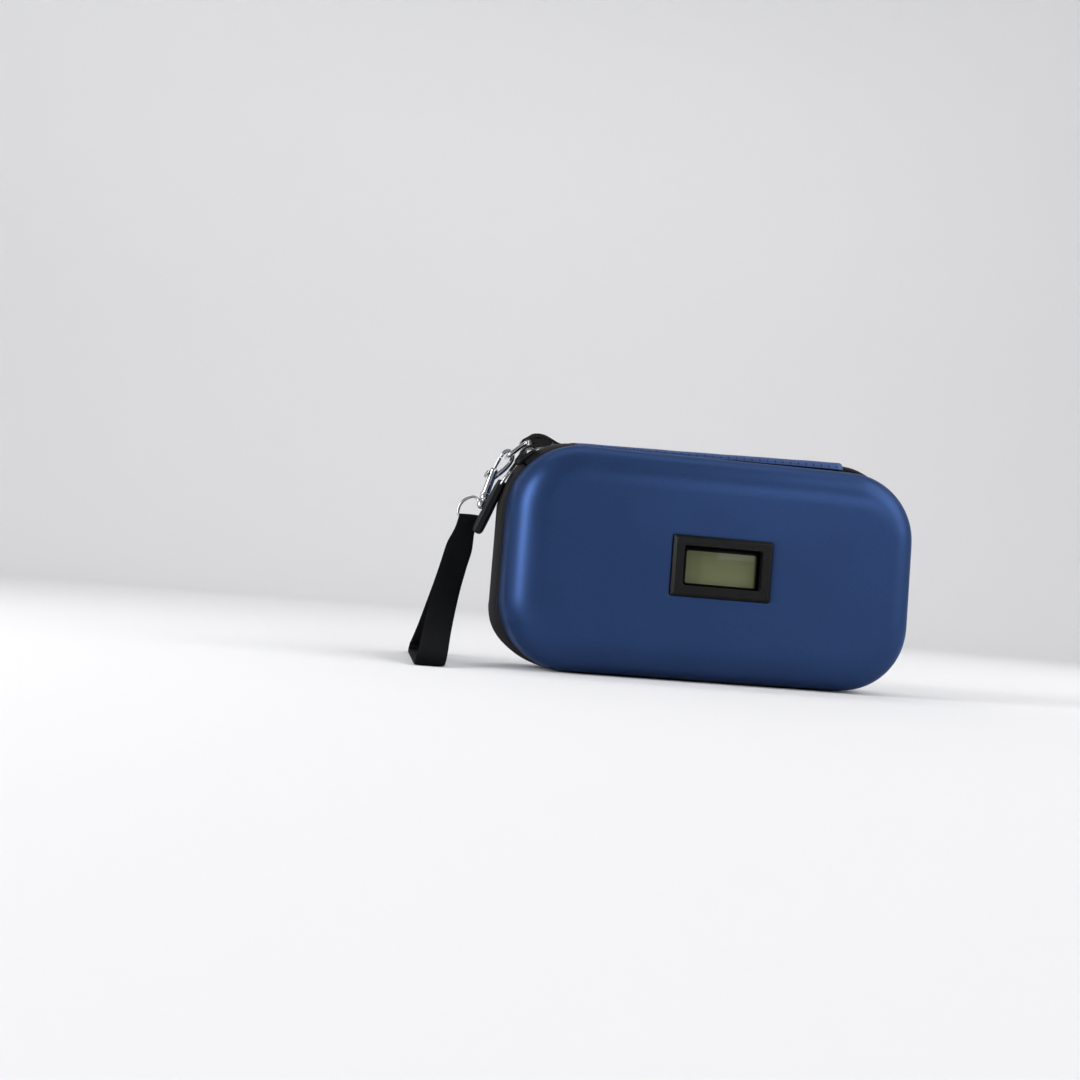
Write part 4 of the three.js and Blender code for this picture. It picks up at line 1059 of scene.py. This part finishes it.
def strapRoute():
    top, ply = eyeBar["z"], strap["thick"] / 2 + 0.1
    reach = eyeBar["wire"] + 0.25 + strap["thick"] / 2
    loop = [(reach * a, top + reach * b) for a, b in map(compass, (0, 45, 90, 135, 180))]
    loop += [(-ply, z) for z in strap["sewn"]] + strap["frontFall"]
    loop += [(y, strap["thick"] / 2) for y in strap["floorRun"]]
    loop += strap["backRise"] + [(ply, z) for z in strap["sewn"][::-1]]
    return [(max(strap["footX"], strap["topX"] - strap["slope"] * max(0, top - z)), strapY + y, z)
            for y, z in loop]


def strapPiece():
    route = smoothRoute(strapRoute(), 5, closed=True)
    for p in route:
        p.z = max(p.z, strap["thick"] / 2)
    across, widths = [], []
    for p in route:
        tilt = strap["slope"] * smoothstep(*strap["leanFrom"], p.z) * (1 - smoothstep(*strap["leanTo"], p.z))
        across.append((1, 0, -tilt))
        narrow = smoothstep(*strap["narrowing"], p.z)
        widths.append(strap["width"] + (strap["fold"] - strap["width"]) * narrow)
    bm = bmesh.new()
    flatBand(bm, route, strap["width"], strap["thick"], across, widths, closed=True, rows=9)
    piece = settle(bm, "wrist_strap_webbing", strapWeb, None, ["wrist_strap"], sharp=60)
    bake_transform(piece)


strapPiece()
print("strap laid")

# zip slider and its pull
slider = {"angle": 128, "plate": (12.4, 7.8, 1.1), "plateX": -2.6, "post": (3, 1, 5), "postX": 1.4,
          "bridge": [(-4.6, 0.3), (-4.7, 1.7), (-3.7, 2.9), (-1.5, 3.4), (1.0, 3.1), (2.9, 2.0), (3.8, 0.4)],
          "bridgeSize": (2.6, 1.0), "flank": (-8.0, -5.5, -3, -0.5, 2), "flankY": 3.6,
          "flankSize": (0.9, 1.4), "plateZ": 0.3, "postZ": -2, "flankZ": -0.35, "pivot": (-2.2, 2.45)}
sliderPlace = (Matrix.Translation((-cornerX, 0, midHeight + cornerZ))
               @ Matrix.Rotation(math.radians(90 - slider["angle"]), 4, "Y"))
crownReach = case["corner"] + zipLine["bulge"]  # from the corner's centre to the top of the tape


def sliderPiece():
    bm = bmesh.new()
    base = crownReach + 0.3
    plate = (slider["plate"], slider["plateX"], base + slider["plateZ"])
    post = (slider["post"], slider["postX"], base + slider["postZ"])
    for size, x, z in (plate, post):
        part = bmesh.new()
        bmesh.ops.create_cube(part, size=1)
        lengthwise = [e for e in part.edges if abs(e.verts[0].co.x - e.verts[1].co.x) > 0.1]
        bmesh.ops.subdivide_edges(part, edges=lengthwise, cuts=5)
        bmesh.ops.scale(part, vec=size, verts=part.verts)
        upright = [e for e in part.edges
                   if abs(e.verts[0].co.z - e.verts[1].co.z) > 0.1 and e.calc_face_angle(0) > 1]
        roundOver(part, upright, min(2.2, size[1] * 0.4), 5)
        roundRim(part, 0.25)
        bmesh.ops.translate(part, vec=(x, 0, z), verts=part.verts)
        for v in part.verts:
            v.co.z -= v.co.x ** 2 / (2 * base)  # the plate follows the corner's curve
        absorb(bm, part)
    bridge = bmesh.new()
    bridgeLine = [(x, base + z) for x, z in slider["bridge"]]
    flatBand(bridge, smoothRoute(standing(bridgeLine), 4), *slider["bridgeSize"], rows=5)
    absorb(bm, bridge)
    for side in (-1, 1):
        flank = bmesh.new()
        flankLine = [(x, base + slider["flankZ"] - x * x / (2 * base)) for x in slider["flank"]]
        flankRoute = [Vector(p) for p in standing(flankLine, side * slider["flankY"])]
        flatBand(flank, flankRoute, *slider["flankSize"], rows=5)
        absorb(bm, flank)
    bmesh.ops.transform(bm, matrix=sliderPlace, verts=bm.verts)
    settle(bm, "slider_body", sliderEnamel, "slider", ["zip_slider"])


pullPivot = sliderPlace @ Vector((slider["pivot"][0], 0, crownReach + slider["pivot"][1]))
gripTop = Vector((-103.0, 0, 87.0))
gripTurn = Matrix.Rotation(math.atan2(0.37, 0.929), 4, "Y")
puller = {"half": 0.8, "plate": 3.2, "cheek": 0.75, "bridge": 3.4, "link": 12.2, "wire": 0.72, "spread": 2.4,
          "bend": 1.4, "pin": 0.6, "pinHalf": 2.0, "deep": 1.06, "wide": 1.2,
          "girths": [(2.1, 1.5), (1.7, 1.95), (-1.5, 2.3), (-6, 2.5), (-12, 2.6), (-18, 2.68), (-24.2, 2.62),
                     (-25.5, 2.2), (-26.3, 1.5)]}


def linkPlate(bm, start, end, half, thickness, y):  # flat bar with round ends, standing across the case
    run = end - start
    part = roundedPlate(run.length + 2 * half, 2 * half, half * 0.98, 8)
    made = bmesh.ops.extrude_face_region(part, geom=part.faces[:])["geom"]
    raised = [v for v in made if isinstance(v, bmesh.types.BMVert)]
    bmesh.ops.translate(part, vec=(0, 0, thickness), verts=raised)
    bmesh.ops.translate(part, vec=(0, 0, -thickness / 2), verts=part.verts)
    roundRim(part, 0.25)
    along = run.normalized()
    axes = Matrix((along, along.cross(Vector((0, 1, 0))), Vector((0, 1, 0)))).transposed().to_4x4()
    absorb(bm, part, Matrix.Translation((start + end) / 2 + Vector((0, y, 0))) @ axes)


def pullPieces():
    along = (gripTop - pullPivot).normalized()
    bridgeEnd, linkEnd = (pullPivot + along * puller[key] for key in ("bridge", "link"))
    bm = bmesh.new()  # link: two cheeks round the slider's bridge, solid below it
    linkPlate(bm, bridgeEnd, linkEnd, puller["half"], puller["plate"], 0)
    for side in (-1, 1):
        linkPlate(bm, pullPivot, bridgeEnd + along * 2, puller["half"] + 0.5, puller["cheek"],
                  side * (puller["plate"] / 2 + puller["cheek"] / 2 - 0.1))
    tube(bm, [pullPivot + Vector((0, side * puller["pinHalf"], 0)) for side in (-1, 0, 1)], puller["pin"])
    settle(bm, "pull_link", sliderEnamel, "pull")
    bm = bmesh.new()
    tube(bm, frameRoute(linkEnd, gripTop, puller["spread"], puller["bend"]), puller["wire"], closed=True)
    settle(bm, "pull_wire", brightSteel, "pull", ["pull_bail"])
    bm = bmesh.new()
    sides = [compass(60 * k) for k in range(6)]
    sweep(bm, [[(girth * a * puller["deep"], girth * b * puller["wide"], z) for a, b in sides]
               for z, girth in puller["girths"]])
    bmesh.ops.transform(bm, matrix=Matrix.Translation(gripTop) @ gripTurn, verts=bm.verts)
    grip = settle(bm, "pull_grip_bar", pullPlastic, "pull", ["pull_grip"], sharp=25)
    easeEdges(grip, 0.35, 3)


sliderPiece()
pullPieces()
print("slider and pull made")

# inside of the lid: elastic pen loops
penLoop = {"radius": 9.2, "band": 1.0, "width": 20, "rise": 8.2, "x": 52, "z": 22,
           "hem": ((0, 4.2), (0, 2.0), (0.3, 0.5), (1.6, 0)), "stitchSize": (0.75, 0.2, 0.18),
           "seam": {"start": -8, "step": 2, "count": 9, "out": 0.55, "past": 2.6}}
linerFace = -(case["zipGap"] + lid["depth"] - liner["offset"] - liner["wall"])


def penLoopPiece(index, x, z):
    foot = linerFace + 0.3 + penLoop["band"] / 2
    r = penLoop["radius"]
    line = [(foot + out, z + r + up) for out, up in penLoop["hem"]]
    line += [(foot + penLoop["rise"] + r * a, z + r * b) for a, b in map(compass, range(90, -91, -15))]
    line += [(foot + out, z - r - up) for out, up in penLoop["hem"][::-1]]
    bm = bmesh.new()
    route = smoothRoute([(x, a, b) for a, b in line], 3)
    flatBand(bm, route, penLoop["width"], penLoop["band"], [(1, 0, 0)] * len(route), rows=9)
    settle(bm, f"pen_loop_elastic_{index}", elasticWeb, "lid", [f"pen_loop_{index}"], sharp=60)
    seam = penLoop["seam"]
    spots = []
    for edge in (-1, 1):
        for k in range(seam["count"]):
            place = (x + seam["start"] + seam["step"] * k, foot + seam["out"], z + edge * (r + seam["past"]))
            spots.append((place, (1, 0, 0), (0, 1, 0)))
    stitchPiece(f"pen_loop_stitches_{index}", spots, penLoop["stitchSize"], blackThread, "lid")


for index, (sideX, sideZ) in enumerate(((-1, 1), (1, 1), (-1, -1), (1, -1)), 1):
    penLoopPiece(index, sideX * penLoop["x"], midHeight + sideZ * penLoop["z"])
print("pen loops sewn")

# inside of the back half: gel pack behind a net pocket with an elastic top
pocket = {"half": 93.0, "bottom": 7.0, "top": 72, "corner": 24, "y": 10.0, "cell": 3.6, "thread": 0.42,
          "middle": 40, "reach": 34, "sag": 0.7, "bandHalf": 92.5, "bandZ": 74.3, "bandSize": (5.2, 1.5),
          "bindingSize": (5, 1.0), "sides": (60, 46)}
gel = {"width": 168, "height": 58, "crown": 5.4, "margin": 7, "y": 17.0, "z": 48, "seam": 0.3, "lumps": 0.16,
       "fullest": 1.08, "wander": 0.02, "pucker": 0.5}


def pocketNet():
    bm = bmesh.new()
    reach = 2 * pocket["half"]
    count = int(2 * reach / pocket["cell"])
    bmesh.ops.create_grid(bm, x_segments=count, y_segments=count, size=reach)
    bmesh.ops.rotate(bm, matrix=Matrix.Rotation(math.pi / 4, 3, "Z"), verts=bm.verts)
    bmesh.ops.scale(bm, vec=(1, 1.25, 1), verts=bm.verts)
    bmesh.ops.rotate(bm, matrix=Matrix.Rotation(math.pi / 2, 3, "X"), verts=bm.verts)
    bmesh.ops.translate(bm, vec=(0, pocket["y"], pocket["middle"]), verts=bm.verts)
    cuts = [((0, 0, pocket["top"]), (0, 0, 1)), ((0, 0, pocket["bottom"]), (0, 0, -1)),
            ((pocket["half"], 0, 0), (1, 0, 0)), ((-pocket["half"], 0, 0), (-1, 0, 0))]
    for side in (-1, 1):
        middle = Vector((side * (pocket["half"] - pocket["corner"]), 0, pocket["bottom"] + pocket["corner"]))
        for degrees in (15, 30, 45, 60, 75):
            x, z = compass(degrees)
            out = Vector((side * x, 0, -z))
            cuts.append((middle + out * pocket["corner"], out))
    for place, out in cuts:
        bmesh.ops.bisect_plane(bm, geom=bm.verts[:] + bm.edges[:] + bm.faces[:], plane_co=place, plane_no=out,
                               clear_outer=True)
    for v in bm.verts:
        u, w = v.co.x / pocket["half"], (v.co.z - pocket["middle"]) / pocket["reach"]
        v.co.y -= pocket["sag"] * max(0, 1 - u * u) * max(0, 1 - w * w)
    bmesh.ops.wireframe(bm, faces=bm.faces[:], thickness=pocket["thread"], offset=0.0, use_replace=True,
                        use_boundary=True, use_even_offset=False)
    piece = settle(bm, "pocket_netting", netThread, "back_half", ["pocket_net"], sharp=80)


def pocketBinding():
    half, low, corner = pocket["half"], pocket["bottom"], pocket["corner"]
    heights = (pocket["top"], *pocket["sides"], low + corner)
    line = [(-half, z) for z in heights]
    for side, degrees in [(-1, d) for d in range(195, 270, 15)] + [(1, d) for d in range(270, 346, 15)]:
        x, z = compass(degrees)
        line.append((side * (half - corner) + corner * x, low + corner + corner * z))
    line += [(half, z) for z in heights[::-1]]
    route = smoothRoute(standing(line, pocket["y"] - 0.35), 4)
    across = []
    for k in range(len(route)):
        run = route[min(k + 1, len(route) - 1)] - route[max(k - 1, 0)]
        across.append(run.normalized().cross(Vector((0, 1, 0))))
    bm = bmesh.new()
    flatBand(bm, route, *pocket["bindingSize"], across, rows=5)
    settle(bm, "pocket_binding", bindingWeb, "back_half", sharp=60)


def pocketBand():
    bm = bmesh.new()
    route = [Vector((pocket["bandHalf"] * (k / 30 - 1), pocket["y"] + 0.15 * math.sin(k * 0.9),
                     pocket["bandZ"] + 0.2 * math.sin(k * 0.5))) for k in range(61)]
    flatBand(bm, route, *pocket["bandSize"], [(0, 0, 1)] * len(route), rows=7)
    settle(bm, "pocket_elastic", bindingWeb, "back_half", ["pocket_band"], sharp=60)


def gelPiece():
    bm = bmesh.new()
    bmesh.ops.create_grid(bm, x_segments=96, y_segments=36, size=1)
    halfWidth, halfHeight = gel["width"] / 2, gel["height"] / 2
    bmesh.ops.scale(bm, vec=(halfWidth, halfHeight, 1), verts=bm.verts)
    weld = bm.verts.layers.float.new("weld")
    copy = bmesh.ops.duplicate(bm, geom=bm.faces[:])["geom"]
    front = {v for v in copy if isinstance(v, bmesh.types.BMVert)}
    for v in bm.verts:
        u, w = v.co.x / (halfWidth - gel["margin"]), v.co.y / (halfHeight - gel["margin"])
        swell = math.sqrt(max(0, 1 - min(1, abs(u)) ** 4)) * math.sqrt(max(0, 1 - min(1, abs(w)) ** 4))
        lump = 1 + gel["lumps"] * noise.noise(Vector((v.co.x * 0.035, v.co.y * 0.05, 2)))
        edge = (abs(u) ** 12 + abs(w) ** 12) ** (1 / 12) * (1 + gel["wander"] * noise.noise(v.co * 0.09))
        pucker = gel["pucker"] * noise.noise(Vector((v.co.x * 0.22, v.co.y * 0.22, 5)))
        y = gel["seam"] + gel["crown"] * min(gel["fullest"], swell * lump)
        y = y * (-1 if v in front else 1) + pucker * smoothstep(0.7, 1.0, edge)
        v[weld] = smoothstep(0.985, 1.01, edge)
        v.co = Vector((v.co.x, gel["y"] + y, gel["z"] + v.co.y))
    loops = [e for e in bm.edges if e.is_boundary]
    bmesh.ops.bridge_loops(bm, edges=loops)
    piece = settle(bm, "gel_pouch", gelFilm, "back_half", ["gel_pack"], sharp=60)
    smoothOver(piece, 1)


pocketNet()
pocketBinding()
pocketBand()
gelPiece()
print("pocket filled")

# studio: pale floor and backdrop, soft boxes
studio = {"world": (0.09, 0.33), "paper": (0.78, 0.78, 0.79, 1), "floor": 2.0, "bend": 0.8, "wall": 2.6}
boxes = {
    "overhead": {"place": (1.05, -0.28, 1.25), "size": (1.2, 0.9), "power": 9.8, "aim": (0.08, 0, 0.08)},
    "leftBox": {"place": (-1.05, -0.36, 0.36), "size": (0.36, 0.9), "power": 11.5, "aim": (-0.05, 0, 0.06)},
    "rightBox": {"place": (1.35, -0.45, 0.6), "size": (0.9, 0.8), "power": 7, "aim": (0, 0, 0.05)},
    "frontBox": {"place": (0.85, -1.6, 0.75), "size": (0.8, 0.6), "power": 6.3, "aim": (0, 0, 0.05)},
    "backdropBox": {"place": (0, 0.7, 2.2), "size": (2.4, 0.8), "power": 25, "aim": (0, 2.6, 0.6)},
}


def sweepBackdrop():  # round paper cove, open above
    floor, bend = studio["floor"], studio["bend"]
    line = [(0, 0), (0.3, 0), (floor / 2, 0)]
    for degrees in range(0, 91, 9):
        x, z = compass(degrees)
        line.append((floor + bend * z, bend * (1 - x)))
    bm = turned(line + [(floor + bend, studio["wall"])], 72)
    bmesh.ops.recalc_face_normals(bm, faces=bm.faces)
    paper = Finish("backdrop_paper")
    fibre = paper.noise(paper.spot(), 400, 3)
    paper.shade(Base_Color=studio["paper"], Roughness=0.85 + 0.1 * fibre, Specular_IOR_Level=0.1)
    backdrop = drawn(bm, "backdrop", paper)


sweepBackdrop()
room = Finish("studio", bpy.data.worlds, "Background")
upward = room.parts(room.node("TexCoord", out="Generated"))[2]
room.shade(Color=(1, 1, 1, 1), Strength=room.ease(upward, -0.05, 0.8, *studio["world"]))
scene.world = room.material
for name, box in boxes.items():
    data = bpy.data.lights.new(name, "AREA")
    data.shape = "RECTANGLE"
    data.size, data.size_y = box["size"]
    data.energy = box["power"]
    lamp = addObject(name, data)
    lamp.location = box["place"]
    lamp.visible_camera = False
    lamp.rotation_euler = (Vector(box["aim"]) - Vector(box["place"])).to_track_quat("-Z", "Y").to_euler()
print("studio lit")
